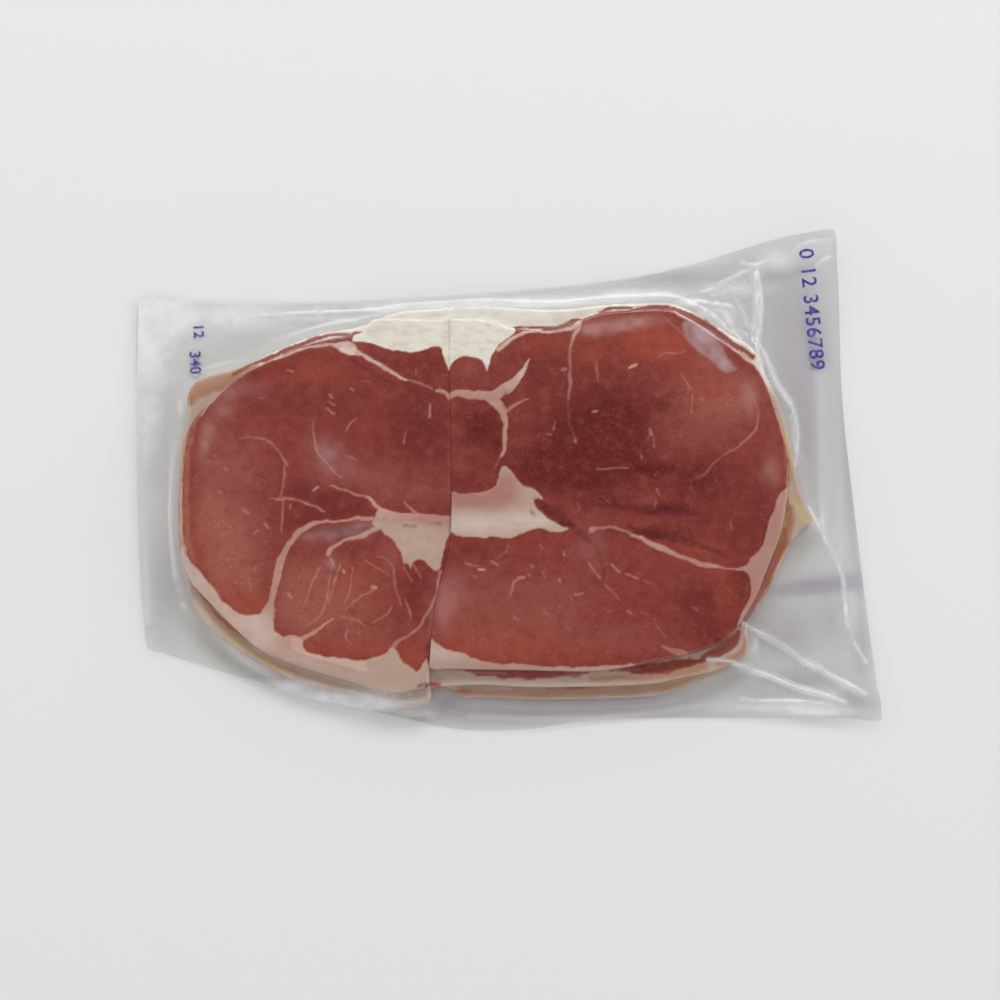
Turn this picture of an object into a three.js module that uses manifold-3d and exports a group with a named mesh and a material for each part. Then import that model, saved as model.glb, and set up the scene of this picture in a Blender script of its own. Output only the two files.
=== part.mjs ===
// A vacuum pack of sliced country ham: two stacks of half slices, side by side,
// in a clear film pouch that has shrunk down onto them.
//
// Millimetres, +Z up. The pack lies flat with its shown side up. X runs along the
// pouch, Y across it, and the origin is under the middle of the pouch's outline.

import * as THREE from 'three';
import { mergeVertices } from 'three/addons/utils/BufferGeometryUtils.js';
import Module from 'manifold-3d';

// ---------------------------------------------------------------- sizes

const SLICE = 4.3;            // thickness of one slice
const GAP = 0.3;              // air left between two pieces that touch
const FLOOR_FILM = 0.6;       // pouch under the slices
const SKIRT_FILM = 0.8;       // the two films, stuck together round the slices
const PROUD = 0.6;            // how much the right top slice stands above the left one
const EDGE = 1.1;             // rounding of a slice's cut edge
const EDGE_TURN = 0.3;        // where the rounding is half way round, as a share of EDGE
const OUTLINE_STEP = 6.5;     // spacing of points along an outline
const STATIONS = 132;         // points round the pouch
const TIGHTEST = 3.2;         // narrowest skirt, where the film wraps close to the slices

const BOTTOM_LEVEL = FLOOR_FILM + GAP;
const MIDDLE_LEVEL = BOTTOM_LEVEL + SLICE + GAP;
const TOP_LEVEL = MIDDLE_LEVEL + SLICE + GAP;
const STACK_TOP = TOP_LEVEL + SLICE;
const CLEAR_ABOVE = STACK_TOP + 4;

// The film's wall comes down round the slices: how far outside each layer it runs, and how
// high it is there. It spreads by at least WALL_SPREAD from one layer to the next.
const OUTSIDE_TOP = 0.9;
const OUTSIDE_MIDDLE = 1.2;
const OUTSIDE_BOTTOM = 1.3;
const WALL_SPREAD = 0.4;
const RIM_HEIGHT = STACK_TOP - 0.4;
const UPPER_BEND = TOP_LEVEL + 0.3;
const LOWER_BEND = MIDDLE_LEVEL + 0.4;
const FOOT_HEIGHT = SKIRT_FILM + 0.6;
const FOOT_WIDTH = 3.5;       // from the wall to where the skirt starts
const LEAST_SKIRT = 1.6;      // skirt that is left where the pouch is narrow

// The skirt's rings, as shares of the way from the wall's foot to the pouch's rim.
const UNDER_RINGS = [0, 0.35, 0.7, 1];
const UPPER_RINGS = [1, 0.85, 0.65, 0.45, 0.2];
const BED_RING = 0.6;         // the ring under the slices, as a share of the stack's reach
const FULL_FOLD = 20;         // a skirt this wide carries its folds at full height

// How far the skirt's corners and its left end rise off the table.
const LIFT_FAR_RIGHT = 7.5;
const LIFT_NEAR_RIGHT = 3.5;
const LIFT_LEFT = 2;

// The pouch: one list of points for each of its four sides, corner to corner.
const POUCH_SIDES = {
  far: [[-153, 76], [-128, 75], [-86, 74.5], [-44, 76], [0, 79], [50, 84.5], [84, 92], [117, 101], [139, 104]],
  right: [[139, 104], [140.5, 76], [141.5, 32], [144, -2], [149, -60], [153, -101]],
  near: [[153, -101], [96, -100.5], [55, -100.5], [31, -102], [10, -105], [-18, -105], [-42, -100],
    [-82, -91], [-107, -84], [-128, -77.5], [-145, -72]],
  left: [[-145, -72], [-148, -52], [-151, -10], [-152.5, 32], [-153, 76]],
};

// Where the two halves of each layer meet, from the far side to the near side.
const MEETING_LINE = [[-22, 42], [-21.5, 20], [-21, -5], [-21.5, -30], [-24.5, -44], [-27, -54], [-29, -70]];

const MEETING_X = -25;        // points this near to that X are on the meeting line
const MEETING_SPREAD = 6;

// Outer edge of each half slice, from the far end of the meeting line round to its near end.
const LEFT_TOP_EDGE = [[-22, 63], [-43, 64], [-55, 63], [-59, 57.5], [-70, 55.5], [-84, 51.5], [-99, 44.5],
  [-108, 39.5], [-118, 30.5], [-127, 21], [-130.5, 10], [-132, -12], [-131.5, -29], [-128, -44], [-119.5, -54],
  [-107.5, -66], [-97, -74.5], [-81, -81], [-64, -86], [-47.5, -91], [-38, -90.5], [-30, -88.5]];
const LEFT_LOWER_EDGE = [[-22, 69.5], [-43, 68], [-60, 61.5], [-76, 58.5], [-92, 52.3], [-109, 44], [-118, 41.3],
  [-127, 38], [-130.5, 32], [-130, 24], [-132.5, 12], [-133.5, -12], [-132.5, -28], [-129, -46], [-123, -60],
  [-110, -71], [-94, -81], [-78, -87.5], [-58, -91.5], [-47, -94.5], [-38, -95.5], [-29.5, -94]];
const RIGHT_TOP_EDGE = [[-22, 63], [-9.5, 63.5], [3, 60], [17, 58.5], [29.5, 62], [40, 66], [55, 67.5], [69, 67.8],
  [77, 63.8], [88, 56.4], [102, 46], [107, 38], [112, 25], [116.5, 8.5], [117, -2], [113.5, -24], [106, -43.5],
  [102, -53], [95, -64], [87, -71.5], [71, -76.5], [52, -80.5], [35, -82.5], [6, -82], [-29, -81.5]];
const RIGHT_LOWER_EDGE = [[-22, 69.5], [-9, 70.5], [7, 69.5], [24, 69], [40, 70.8], [57, 71.7], [71, 71.3], [82, 66.2],
  [90, 61], [98, 56], [105, 51], [109, 40.5], [114, 29], [117.5, 16], [120, 3], [121.2, -6], [124.5, -15.5],
  [126.3, -22], [121, -24.5], [116, -33], [111, -43], [105, -54], [99, -62], [98.5, -74], [88, -81], [71, -85], [55, -87.5],
  [15, -88.5], [-9, -87.5], [-29.5, -88.5]];

// How far the bottom slices stick out past the middle ones on the near side.
const LEFT_PEEK = 0.8;
const RIGHT_PEEK = 4.5;

const STACK_MIDDLE = new THREE.Vector2(-8, -6);
const LEFT_MIDDLE = new THREE.Vector2(-76, -12);
const RIGHT_MIDDLE = new THREE.Vector2(46, -6);

// ---------------------------------------------------------------- outlines

const points = (list) => list.map(([x, y]) => new THREE.Vector2(x, y));

/** Points about `step` apart along a smooth curve through `list`. */
function alongCurve(list, step) {
  const curve = new THREE.SplineCurve(points(list));
  return curve.getSpacedPoints(Math.max(1, Math.round(curve.getLength() / step)));
}

/** The closed outline of a half slice: its outer edge, then back up the meeting line. */
function sliceOutline(outerEdge, side) {
  const meeting = [outerEdge[0], ...MEETING_LINE, outerEdge[outerEdge.length - 1]];
  const shifted = meeting.map(([x, y]) => [x + side * GAP / 2, y]);
  const outer = alongCurve([shifted[0], ...outerEdge.slice(1, -1), shifted[shifted.length - 1]], OUTLINE_STEP);
  const seam = alongCurve(shifted, OUTLINE_STEP).reverse();
  return [...outer.slice(0, -1), ...seam.slice(0, -1)];
}

/** The same outline pushed outward by `amount(point)` along its normals. */
function grow(outline, amount) {
  const turning = THREE.ShapeUtils.isClockWise(outline) ? 1 : -1;
  return outline.map((point, i) => {
    const before = outline[(i + outline.length - 1) % outline.length];
    const after = outline[(i + 1) % outline.length];
    const along = after.clone().sub(before).normalize();
    const outward = new THREE.Vector2(-along.y, along.x).multiplyScalar(turning);
    return point.clone().addScaledVector(outward, amount(point));
  });
}

/** Distance from `centre` to the outermost crossing of the outlines at `angle`. */
function reach(outlines, centre, angle) {
  const ray = new THREE.Vector2(Math.cos(angle), Math.sin(angle));
  let farthest = 0;
  for (const outline of outlines) {
    outline.forEach((a, i) => {
      const b = outline[(i + 1) % outline.length];
      const side = b.clone().sub(a);
      const start = a.clone().sub(centre);
      const spread = ray.cross(side);
      if (Math.abs(spread) < 1e-9) return;
      const along = start.cross(ray) / spread;
      const distance = start.cross(side) / spread;
      if (along >= 0 && along <= 1) farthest = Math.max(farthest, distance);
    });
  }
  return farthest;
}

// ---------------------------------------------------------------- meshes from rings

/**
 * A closed body from rings of equal length, the first ring closed by a fan to `startTip`
 * and the last one by a fan to `endTip`. Rings run counter-clockwise seen from above.
 */
function bodyFromRings(rings, startTip, endTip) {
  const count = rings[0].length;
  const corners = [startTip, ...rings.flat(), endTip];
  const at = (ring, i) => 1 + ring * count + (i % count);
  const faces = [];
  for (let i = 0; i < count; i += 1) {
    faces.push(0, at(0, i + 1), at(0, i));
    for (let ring = 0; ring + 1 < rings.length; ring += 1) {
      const a = at(ring, i);
      const b = at(ring, i + 1);
      const c = at(ring + 1, i + 1);
      const d = at(ring + 1, i);
      faces.push(a, b, c, a, c, d);
    }
    faces.push(corners.length - 1, at(rings.length - 1, i), at(rings.length - 1, i + 1));
  }
  const geometry = new THREE.BufferGeometry().setFromPoints(corners);
  geometry.setIndex(faces);
  return geometry;
}

/** The gentle unevenness that the film presses into the top of a slice. */
function meatRelief(x, y) {
  return 0.3 * Math.sin(x / 15 + 0.6) * Math.cos(y / 19) + 0.15 * Math.sin((x - 2 * y) / 23);
}

/**
 * One slice: a flat underside, a side with both edges rounded, and a top of several rings
 * so that it can carry the relief.
 */
function sliceGeometry(outline, centre, bottom, top, topRings, relief) {
  const counterClockwise = THREE.ShapeUtils.isClockWise(outline) ? [...outline].reverse() : outline;
  const ring = (inset, share, level, uneven) => counterClockwise.map((point) => {
    const arm = point.clone().sub(centre);
    arm.multiplyScalar(share * (1 - inset / arm.length()));
    const place = centre.clone().add(arm);
    return new THREE.Vector3(place.x, place.y, level + uneven * relief(place.x, place.y));
  });
  const rings = [
    ring(EDGE, 1, bottom, 0),
    ring(0, 1, bottom + EDGE, 0),
    ring(0, 1, top - EDGE, 0),
    ring(EDGE * EDGE_TURN, 1, top - EDGE * EDGE_TURN, 0.5),
    ...topRings.map((share) => ring(EDGE, share, top, 1)),
  ];
  const endHeight = top + relief(centre.x, centre.y);
  return bodyFromRings(rings, new THREE.Vector3(centre.x, centre.y, bottom),
    new THREE.Vector3(centre.x, centre.y, endHeight));
}

// ---------------------------------------------------------------- the six half slices

const WHOLE_TOP = [1, 0.86, 0.7, 0.54, 0.38, 0.2];
const FLAT_TOP = [1];
const flat = () => 0;

function halfSlice(name, edge, side, peek, bottom, thickness, topRings) {
  const centre = side < 0 ? LEFT_MIDDLE : RIGHT_MIDDLE;
  const nearness = (point) => (
    THREE.MathUtils.smoothstep(-point.y, 40, 80) * (1 - THREE.MathUtils.smoothstep(point.x, 60, 95)));
  const outline = grow(sliceOutline(edge, side), (point) => {
    const onMeetingLine = Math.abs(point.x - MEETING_X) < MEETING_SPREAD;
    return onMeetingLine ? 0 : peek * nearness(point);
  });
  return { name, outline, centre, bottom, top: bottom + thickness, topRings };
}

const slices = [
  halfSlice('slice_bottom_left', LEFT_LOWER_EDGE, -1, LEFT_PEEK, BOTTOM_LEVEL, SLICE, FLAT_TOP),
  halfSlice('slice_bottom_right', RIGHT_LOWER_EDGE, 1, RIGHT_PEEK, BOTTOM_LEVEL, SLICE, FLAT_TOP),
  halfSlice('slice_middle_left', LEFT_LOWER_EDGE, -1, 0, MIDDLE_LEVEL, SLICE, FLAT_TOP),
  halfSlice('slice_middle_right', RIGHT_LOWER_EDGE, 1, 0, MIDDLE_LEVEL, SLICE, FLAT_TOP),
  halfSlice('slice_top_left', LEFT_TOP_EDGE, -1, 0, TOP_LEVEL, SLICE, WHOLE_TOP),
  halfSlice('slice_top_right', RIGHT_TOP_EDGE, 1, 0, TOP_LEVEL, SLICE + PROUD, WHOLE_TOP),
];

const outlinesFrom = (height) => slices.filter((slice) => slice.bottom >= height).map((slice) => slice.outline);

// ---------------------------------------------------------------- the pouch

/** How high the skirt's underside is off the table: nothing by the slices, most at the corners. */
function skirtLift(place, share) {
  const farRight = THREE.MathUtils.smoothstep(place.x, 70, 140) * THREE.MathUtils.smoothstep(place.y, 40, 100);
  const nearRight = THREE.MathUtils.smoothstep(place.x, 90, 150) * THREE.MathUtils.smoothstep(-place.y, 50, 100);
  const left = THREE.MathUtils.smoothstep(-place.x, 130, 153);
  const wave = 0.6 + 0.4 * Math.sin(place.x / 14) * Math.cos(place.y / 17);
  return share * (LIFT_FAR_RIGHT * farRight + LIFT_NEAR_RIGHT * nearRight + LIFT_LEFT * left + wave);
}

/** Folds that run out from the slices to the corners, as height on the upper film. */
function foldHeight(angle, share) {
  const folds = [
    { towards: -0.52, width: 0.05, height: 2.6 },
    { towards: -0.68, width: 0.045, height: 2.2 },
    { towards: 0.62, width: 0.06, height: 2.8 },
    { towards: 0.86, width: 0.05, height: 1.8 },
    { towards: 2.62, width: 0.06, height: 1.2 },
    { towards: -2.66, width: 0.06, height: 1.0 },
  ];
  const alongFold = Math.sin(Math.PI * Math.min(1, share + 0.2)) ** 0.7;
  return folds.reduce((sum, { towards, width, height }) => (
    sum + height * alongFold * Math.exp(-(((angle - towards) / width) ** 2))), 0);
}

/** Angles of the stations: evenly spaced, with the nearest ones moved onto the four corners. */
function stationAngles(corners) {
  const angles = Array.from({ length: STATIONS }, (_, i) => -Math.PI + (2 * Math.PI * i) / STATIONS);
  for (const corner of corners) {
    const cornerAngle = corner.clone().sub(STACK_MIDDLE).angle();
    const wrapped = cornerAngle > Math.PI ? cornerAngle - 2 * Math.PI : cornerAngle;
    const nearest = angles.reduce((best, angle, i) => (
      Math.abs(angle - wrapped) < Math.abs(angles[best] - wrapped) ? i : best), 0);
    angles[nearest] = wrapped;
  }
  return angles;
}

function pouchGeometry() {
  const sides = Object.values(POUCH_SIDES);
  const outline = sides.flatMap((side) => alongCurve(side, OUTLINE_STEP).slice(0, -1));
  const angles = stationAngles(sides.map((side) => points(side)[0]));
  const halfStation = Math.PI / STATIONS;
  const widest = (outlines, angle) => Math.max(
    ...[-halfStation, 0, halfStation].map((turn) => reach(outlines, STACK_MIDDLE, angle + turn)));

  const stations = angles.map((angle) => {
    const atTop = widest(outlinesFrom(TOP_LEVEL), angle) + OUTSIDE_TOP;
    const atMiddle = Math.max(atTop + WALL_SPREAD, widest(outlinesFrom(MIDDLE_LEVEL), angle) + OUTSIDE_MIDDLE);
    const stack = widest(outlinesFrom(BOTTOM_LEVEL), angle);
    const atBottom = Math.max(atMiddle + WALL_SPREAD, stack + OUTSIDE_BOTTOM);
    const edge = Math.max(reach([outline], STACK_MIDDLE, angle), stack + TIGHTEST, atBottom + LEAST_SKIRT);
    const foot = Math.min(atBottom + FOOT_WIDTH, (atBottom + edge) / 2);
    return { angle, atTop, atMiddle, atBottom, foot, edge };
  });

  const place = ({ angle }, distance) => (
    new THREE.Vector2(Math.cos(angle), Math.sin(angle)).multiplyScalar(distance).add(STACK_MIDDLE));
  const ring = (distanceOf, heightOf) => stations.map((station) => {
    const spot = place(station, distanceOf(station));
    return new THREE.Vector3(spot.x, spot.y, heightOf(station, spot));
  });
  const skirtRing = (share, upper) => ring(
    (station) => THREE.MathUtils.lerp(station.foot, station.edge, share),
    (station, spot) => {
      const under = skirtLift(spot, share);
      const fold = foldHeight(station.angle, share) * Math.min(1, (station.edge - station.foot) / FULL_FOLD);
      return upper ? under + SKIRT_FILM + fold : under;
    },
  );

  const rings = [
    ring((station) => station.atTop * BED_RING, () => 0),
    ring((station) => station.atTop, () => 0),
    ...UNDER_RINGS.map((share) => skirtRing(share, false)),
    ...UPPER_RINGS.map((share) => skirtRing(share, true)),
    ring((station) => station.foot, () => FOOT_HEIGHT),
    ring((station) => station.atBottom, () => LOWER_BEND),
    ring((station) => station.atMiddle, () => UPPER_BEND),
    ring((station) => station.atTop, () => RIM_HEIGHT),
  ];
  return bodyFromRings(rings, new THREE.Vector3(STACK_MIDDLE.x, STACK_MIDDLE.y, 0),
    new THREE.Vector3(STACK_MIDDLE.x, STACK_MIDDLE.y, RIM_HEIGHT));
}

// ---------------------------------------------------------------- cutting the slices' bed

const wasm = await Module();
wasm.setup();

function toSolid(geometry) {
  const plain = geometry.clone();
  plain.deleteAttribute('normal');
  plain.deleteAttribute('uv');
  const merged = mergeVertices(plain, 1e-4);
  return new wasm.Manifold(new wasm.Mesh({
    numProp: 3,
    vertProperties: new Float32Array(merged.attributes.position.array),
    triVerts: new Uint32Array(merged.index.array),
  }));
}

function toGeometry(solid) {
  const { vertProperties, triVerts } = solid.getMesh();
  const geometry = new THREE.BufferGeometry();
  geometry.setAttribute('position', new THREE.BufferAttribute(vertProperties, 3));
  geometry.setIndex(new THREE.BufferAttribute(triVerts, 1));
  return geometry;
}

/** A straight-sided block on an outline: the room that slices take in the pouch. */
function block(outline, centre, bottom, top) {
  const counterClockwise = THREE.ShapeUtils.isClockWise(outline) ? [...outline].reverse() : outline;
  const ring = (height) => counterClockwise.map((point) => new THREE.Vector3(point.x, point.y, height));
  return bodyFromRings([ring(bottom), ring(top)], new THREE.Vector3(centre.x, centre.y, bottom),
    new THREE.Vector3(centre.x, centre.y, top));
}

/** The pouch with its bed for the slices: GAP wider than they are, and open over the top ones. */
function bagGeometry() {
  const roof = (slice) => (slice.bottom === TOP_LEVEL ? CLEAR_ABOVE : slice.top + GAP);
  let bag = toSolid(pouchGeometry());
  for (const slice of slices) {
    const room = block(grow(slice.outline, () => GAP), slice.centre, slice.bottom - GAP, roof(slice));
    bag = bag.subtract(toSolid(room));
  }
  return toGeometry(bag);
}

// ---------------------------------------------------------------- materials

const LEAN = new THREE.MeshStandardMaterial({ color: 0x8c3c37, roughness: 0.35, metalness: 0 });
const LEAN_PALE = new THREE.MeshStandardMaterial({ color: 0x96554e, roughness: 0.35, metalness: 0 });
const FILM = new THREE.MeshStandardMaterial({ color: 0xc8c8c6, roughness: 0.12, metalness: 0 });

// ---------------------------------------------------------------- assembly

function named(name, geometry, material) {
  const mesh = new THREE.Mesh(geometry, material.clone());
  mesh.name = name;
  geometry.computeVertexNormals();
  return mesh;
}

function countryHamPack() {
  const pack = new THREE.Group();
  pack.add(named('bag', bagGeometry(), FILM));
  for (const slice of slices) {
    const { name, outline, centre, bottom, top, topRings } = slice;
    const relief = topRings === WHOLE_TOP ? meatRelief : flat;
    const material = centre === LEFT_MIDDLE ? LEAN_PALE : LEAN;
    pack.add(named(name, sliceGeometry(outline, centre, bottom, top, topRings, relief), material));
  }
  const box = new THREE.Box3().setFromObject(pack);
  const middle = box.getCenter(new THREE.Vector3());
  pack.position.set(-middle.x, -middle.y, -box.min.z);
  return pack;
}

const group = countryHamPack();
export default group;
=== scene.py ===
# %% [markdown]
# # A vacuum pack of country ham
#
# The pack is two stacks of half slices in a clear pouch that has shrunk onto them. This file
# dresses the fixed CAD model: first the frame, the camera and the light, then the slices with
# their muscles, seams and fat, then the film over them, and the printed digits last.

# %% The frame
import bpy, math
import numpy as np
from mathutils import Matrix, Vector


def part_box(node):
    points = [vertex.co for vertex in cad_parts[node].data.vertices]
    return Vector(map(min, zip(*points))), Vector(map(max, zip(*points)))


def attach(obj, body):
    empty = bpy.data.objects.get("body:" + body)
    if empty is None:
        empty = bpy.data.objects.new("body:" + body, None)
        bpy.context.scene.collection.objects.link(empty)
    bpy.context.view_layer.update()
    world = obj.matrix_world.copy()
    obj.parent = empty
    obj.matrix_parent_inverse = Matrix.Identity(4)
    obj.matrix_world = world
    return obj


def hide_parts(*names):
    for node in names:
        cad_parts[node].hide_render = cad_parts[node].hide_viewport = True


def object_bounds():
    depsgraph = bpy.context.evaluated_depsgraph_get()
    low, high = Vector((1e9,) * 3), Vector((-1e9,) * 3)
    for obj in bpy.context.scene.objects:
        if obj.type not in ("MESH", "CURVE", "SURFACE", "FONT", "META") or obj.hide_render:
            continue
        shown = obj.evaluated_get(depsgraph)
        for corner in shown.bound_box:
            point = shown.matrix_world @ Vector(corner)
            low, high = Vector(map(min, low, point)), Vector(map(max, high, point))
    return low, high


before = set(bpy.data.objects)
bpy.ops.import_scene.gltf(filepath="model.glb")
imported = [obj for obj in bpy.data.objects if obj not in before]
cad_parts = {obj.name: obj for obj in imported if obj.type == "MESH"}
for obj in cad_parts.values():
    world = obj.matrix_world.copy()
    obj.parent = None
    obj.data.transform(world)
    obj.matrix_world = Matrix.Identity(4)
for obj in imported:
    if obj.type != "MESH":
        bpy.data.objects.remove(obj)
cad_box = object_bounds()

MM = 0.001
print("CAD nodes:", sorted(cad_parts))

# %% [markdown]
# ## Small helpers
#
# Blender's operators work on what is selected, and the CAD nodes are selected after loading, so
# every step starts by selecting one object alone. Moving thousands of vertices is done in one go
# with an array, because a loop in Python over each of them would take minutes.

# %% Helpers for objects
def only(obj):
    """Selects obj and nothing else."""
    if bpy.context.mode != "OBJECT":
        bpy.ops.object.mode_set(mode="OBJECT")
    bpy.ops.object.select_all(action="DESELECT")
    obj.select_set(True)
    bpy.context.view_layer.objects.active = obj


def places(obj):
    """The vertices of obj as an array of millimetres."""
    flat = np.empty(len(obj.data.vertices) * 3)
    obj.data.vertices.foreach_get("co", flat)
    return flat.reshape(-1, 3) / MM


def move_to(obj, spots_3d):
    """Puts the vertices of obj at those spots, in millimetres."""
    obj.data.vertices.foreach_set("co", (spots_3d * MM).ravel())
    obj.data.update()


def keep_value(obj, name, values):
    """Stores one number for each vertex, for the material to read."""
    layer = obj.data.attributes.new(name, "FLOAT", "POINT")
    layer.data.foreach_set("value", values.astype(np.float32))


# %% [markdown]
# Colours are written as sRGB hex, as a colour picker shows them, and turned to the linear values
# that the renderer wants. A material is a small graph of nodes, and one helper adds any of them.
# What grows over something else, such as fat over lean, is a coat with a cover between 0 and 1.

# %% Helpers for materials
def colour(hexa):
    """An sRGB hex colour as linear RGBA."""
    parts = [int(hexa[i:i + 2], 16) / 255 for i in (1, 3, 5)]
    linear = [c / 12.92 if c <= 0.04045 else ((c + 0.055) / 1.055) ** 2.4 for c in parts]
    return (*linear, 1.0)


def node(tree, kind, settings=None, **links):
    """Adds a node. Each input, by name or as _number, gets a socket, a hex colour or a number."""
    new = tree.nodes.new("ShaderNode" + kind)
    for key, value in (settings or {}).items():
        setattr(new, key, value)
    for key, value in links.items():
        socket = new.inputs[int(key[1:])] if key[0] == "_" else new.inputs[key.replace("_", " ")]
        if isinstance(value, bpy.types.NodeSocket):
            tree.links.new(value, socket)
        else:
            socket.default_value = colour(value) if isinstance(value, str) else value
    return new


def lay_on(tree, under, coats):
    """Lays coats of colour over `under`, in their order, each as far as its cover goes."""
    for cover, coat in coats:
        under = node(tree, "Mix", {"data_type": "RGBA"}, _0=cover, _6=under, _7=coat).outputs[2]
    return under


def new_material(name):
    """An empty material and its graph of nodes."""
    material = bpy.data.materials.new(name)
    material.use_nodes = True
    material.node_tree.nodes.clear()
    return material, material.node_tree


# %% [markdown]
# ## The camera
#
# The picture was taken from almost straight above, a little from the near side. With the camera
# known, a place that is read off the 1000 x 1000 picture can be turned into a place on the
# object: a ray goes out through that pixel until it is as high as the surface it lands on.

# %% Camera
TILT = math.radians(79)       # how far the camera looks down
DISTANCE = 920 * MM
AIM = Vector((-1.3, -9.4, 0)) * MM        # the point on the table in the middle of the picture
LENS, SENSOR = 80, 36         # in mm
PICTURE = 1000                # pixels along each side of the picture

bpy.ops.object.camera_add(
    location=AIM + DISTANCE * Vector((0, -math.cos(TILT), math.sin(TILT))),
    rotation=(math.pi / 2 - TILT, 0, 0))
camera = bpy.context.object
camera.data.lens = LENS
camera.data.sensor_width = SENSOR
bpy.context.scene.camera = camera


def spots(pixels, height):
    """Where the camera sees those pixels on a level plane `height` mm up, as rows of x, y in mm."""
    pixels = np.asarray(pixels, float)[:, :2]
    right = (pixels[:, 0] - PICTURE / 2) / PICTURE * SENSOR / LENS
    up = (PICTURE / 2 - pixels[:, 1]) / PICTURE * SENSOR / LENS
    ray_y = math.cos(TILT) + up * math.sin(TILT)
    ray_z = -math.sin(TILT) + up * math.cos(TILT)
    reach = (height * MM - camera.location.z) / ray_z
    return np.stack([camera.location.x + right * reach, camera.location.y + ray_y * reach], 1) / MM


print("camera at", [round(c, 3) for c in camera.location])

# %% [markdown]
# ## Light and floor
#
# The pack's near edge is in shade and the far-facing film glints, so the key light is a wide soft
# box on the far side, about 45 degrees up. Three weaker boxes fill the other sides, with little
# glint of their own. Straight overhead stays dark, because a bright ceiling would mirror in the
# level film and wash out the meat.

# %% Lights
def soft_box(name, place, size, watts, glint):
    """A rectangular lamp at `place` (m) that looks at the pack; glint is its share in gloss."""
    bpy.ops.object.light_add(type="AREA", location=place)
    lamp = bpy.context.object
    lamp.name = name
    lamp.rotation_euler = (-Vector(place)).to_track_quat("-Z", "Y").to_euler()
    lamp.data.shape = "RECTANGLE"
    lamp.data.size, lamp.data.size_y = size
    lamp.data.energy = watts
    lamp.data.specular_factor = glint


soft_box("key", (0.15, 1.5, 1.45), (1.6, 0.6), 20.5, 1.0)
soft_box("side_left", (-1.6, 0.2, 1.0), (0.5, 0.9), 5, 0.15)
soft_box("side_right", (1.6, 0.2, 1.0), (0.5, 0.9), 5, 0.3)
soft_box("near", (0, -1.5, 1.1), (1.6, 0.5), 4, 0.1)

# %% The room round the pack
HORIZON = 0.3, (0.85, 0.85, 0.85, 1)      # bright up to this height of the sky
OVERHEAD = 0.92, (0.12, 0.12, 0.13, 1)    # and dark from here on

world = bpy.data.worlds.new("studio")
bpy.context.scene.world = world
world.use_nodes = True
sky = world.node_tree
direction = node(sky, "TexCoord").outputs["Generated"]
height_of = node(sky, "SeparateXYZ", Vector=direction).outputs["Z"]
ceiling = node(sky, "ValToRGB", Fac=height_of)
for stop, (place, shade) in zip(ceiling.color_ramp.elements, (HORIZON, OVERHEAD)):
    stop.position = place
    stop.color = shade
sky.links.new(ceiling.outputs["Color"], sky.nodes["Background"].inputs["Color"])
sky.nodes["Background"].inputs["Strength"].default_value = 1.2
bpy.context.scene.view_settings.view_transform = "Standard"

# %% [markdown]
# The floor is a sweep of matt paper, a plain plane. It lies a hair under the pack, because two
# surfaces at one height flicker where they meet.

# %% Floor
bpy.ops.mesh.primitive_plane_add(size=6, location=(0, 0, -0.05 * MM))
floor = bpy.context.object
floor.name = "floor"
# Matt paper: pale grey with no gloss to speak of.
paper, tree = new_material("matt paper sweep")
paper_shader = node(tree, "BsdfPrincipled", Base_Color="#E4E4E4", Roughness=0.9)
node(tree, "OutputMaterial", Surface=paper_shader.outputs[0])
floor.data.materials.append(paper)

# %% [markdown]
# ## Curves and outlines
#
# A slice's outline is already in the CAD model, as a ring of points about 6 mm apart. The same
# points, joined by a smooth curve, give an outline fine enough for a close look. Everything that
# is drawn on the meat, a seam of fat or a patch of darker muscle, is such a curve too, and two
# measures are enough to draw with it: how deep a place is inside a line's width, and how deep it
# is inside a closed loop.

# %% Curves
def smooth(points, step, closed):
    """Points about `step` apart along a smooth curve through `points`, with every column kept."""
    points = np.asarray(points, float)
    count = len(points)
    if closed:
        padded = np.vstack([points[-1], points, points[:2]])
    else:
        padded = np.vstack([2 * points[0] - points[1], points, 2 * points[-1] - points[-2]])
    out = []
    for i in range(count if closed else count - 1):
        a, b, c, d = padded[i:i + 4]
        pieces = max(1, int(np.hypot(*(c - b)[:2]) / step))
        t = (np.arange(pieces) / pieces)[:, None]
        out.append(0.5 * (2 * b + (c - a) * t + (2 * a - 5 * b + 4 * c - d) * t ** 2
                          + (3 * b - a - 3 * c + d) * t ** 3))
    if not closed:
        out.append(points[-1:])
    return np.vstack(out)


STRETCH = 12                  # segments that are measured together, against the spots near them


def depth_in_line(at, line, widths, closed=False, reach=6.0):
    """How deep each spot is inside a line of those widths, in mm; it is negative outside."""
    depth = np.full(len(at), -reach)
    if closed:
        line = np.vstack([line, line[:1]])
        widths = np.append(widths, widths[0])
    for first in range(0, len(line) - 1, STRETCH):
        part = line[first:first + STRETCH + 1]
        near = np.flatnonzero(np.all((at > part.min(0) - reach) & (at < part.max(0) + reach), axis=1))
        spot = at[near]
        best = depth[near]
        for i in range(first, first + len(part) - 1):
            start = line[i]
            along = line[i + 1] - start
            t = np.clip((spot - start) @ along / max(along @ along, 1e-9), 0, 1)
            gap = np.hypot(*(spot - start - t[:, None] * along).T)
            best = np.maximum(best, (widths[i] * (1 - t) + widths[i + 1] * t) / 2 - gap)
        depth[near] = best
    return depth


def depth_in_loop(at, loop, reach=6.0):
    """How deep each spot is inside a closed loop, in mm; it is negative outside."""
    x, y = at.T
    inside = np.zeros(len(at), bool)
    for (ax, ay), (bx, by) in zip(loop, np.roll(loop, -1, axis=0)):
        inside ^= ((ay > y) != (by > y)) & (x < ax + (y - ay) * (bx - ax) / (by - ay + 1e-12))
    gap = -depth_in_line(at, loop, np.zeros(len(loop)), closed=True, reach=reach)
    return np.where(inside, gap, -gap)


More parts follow.
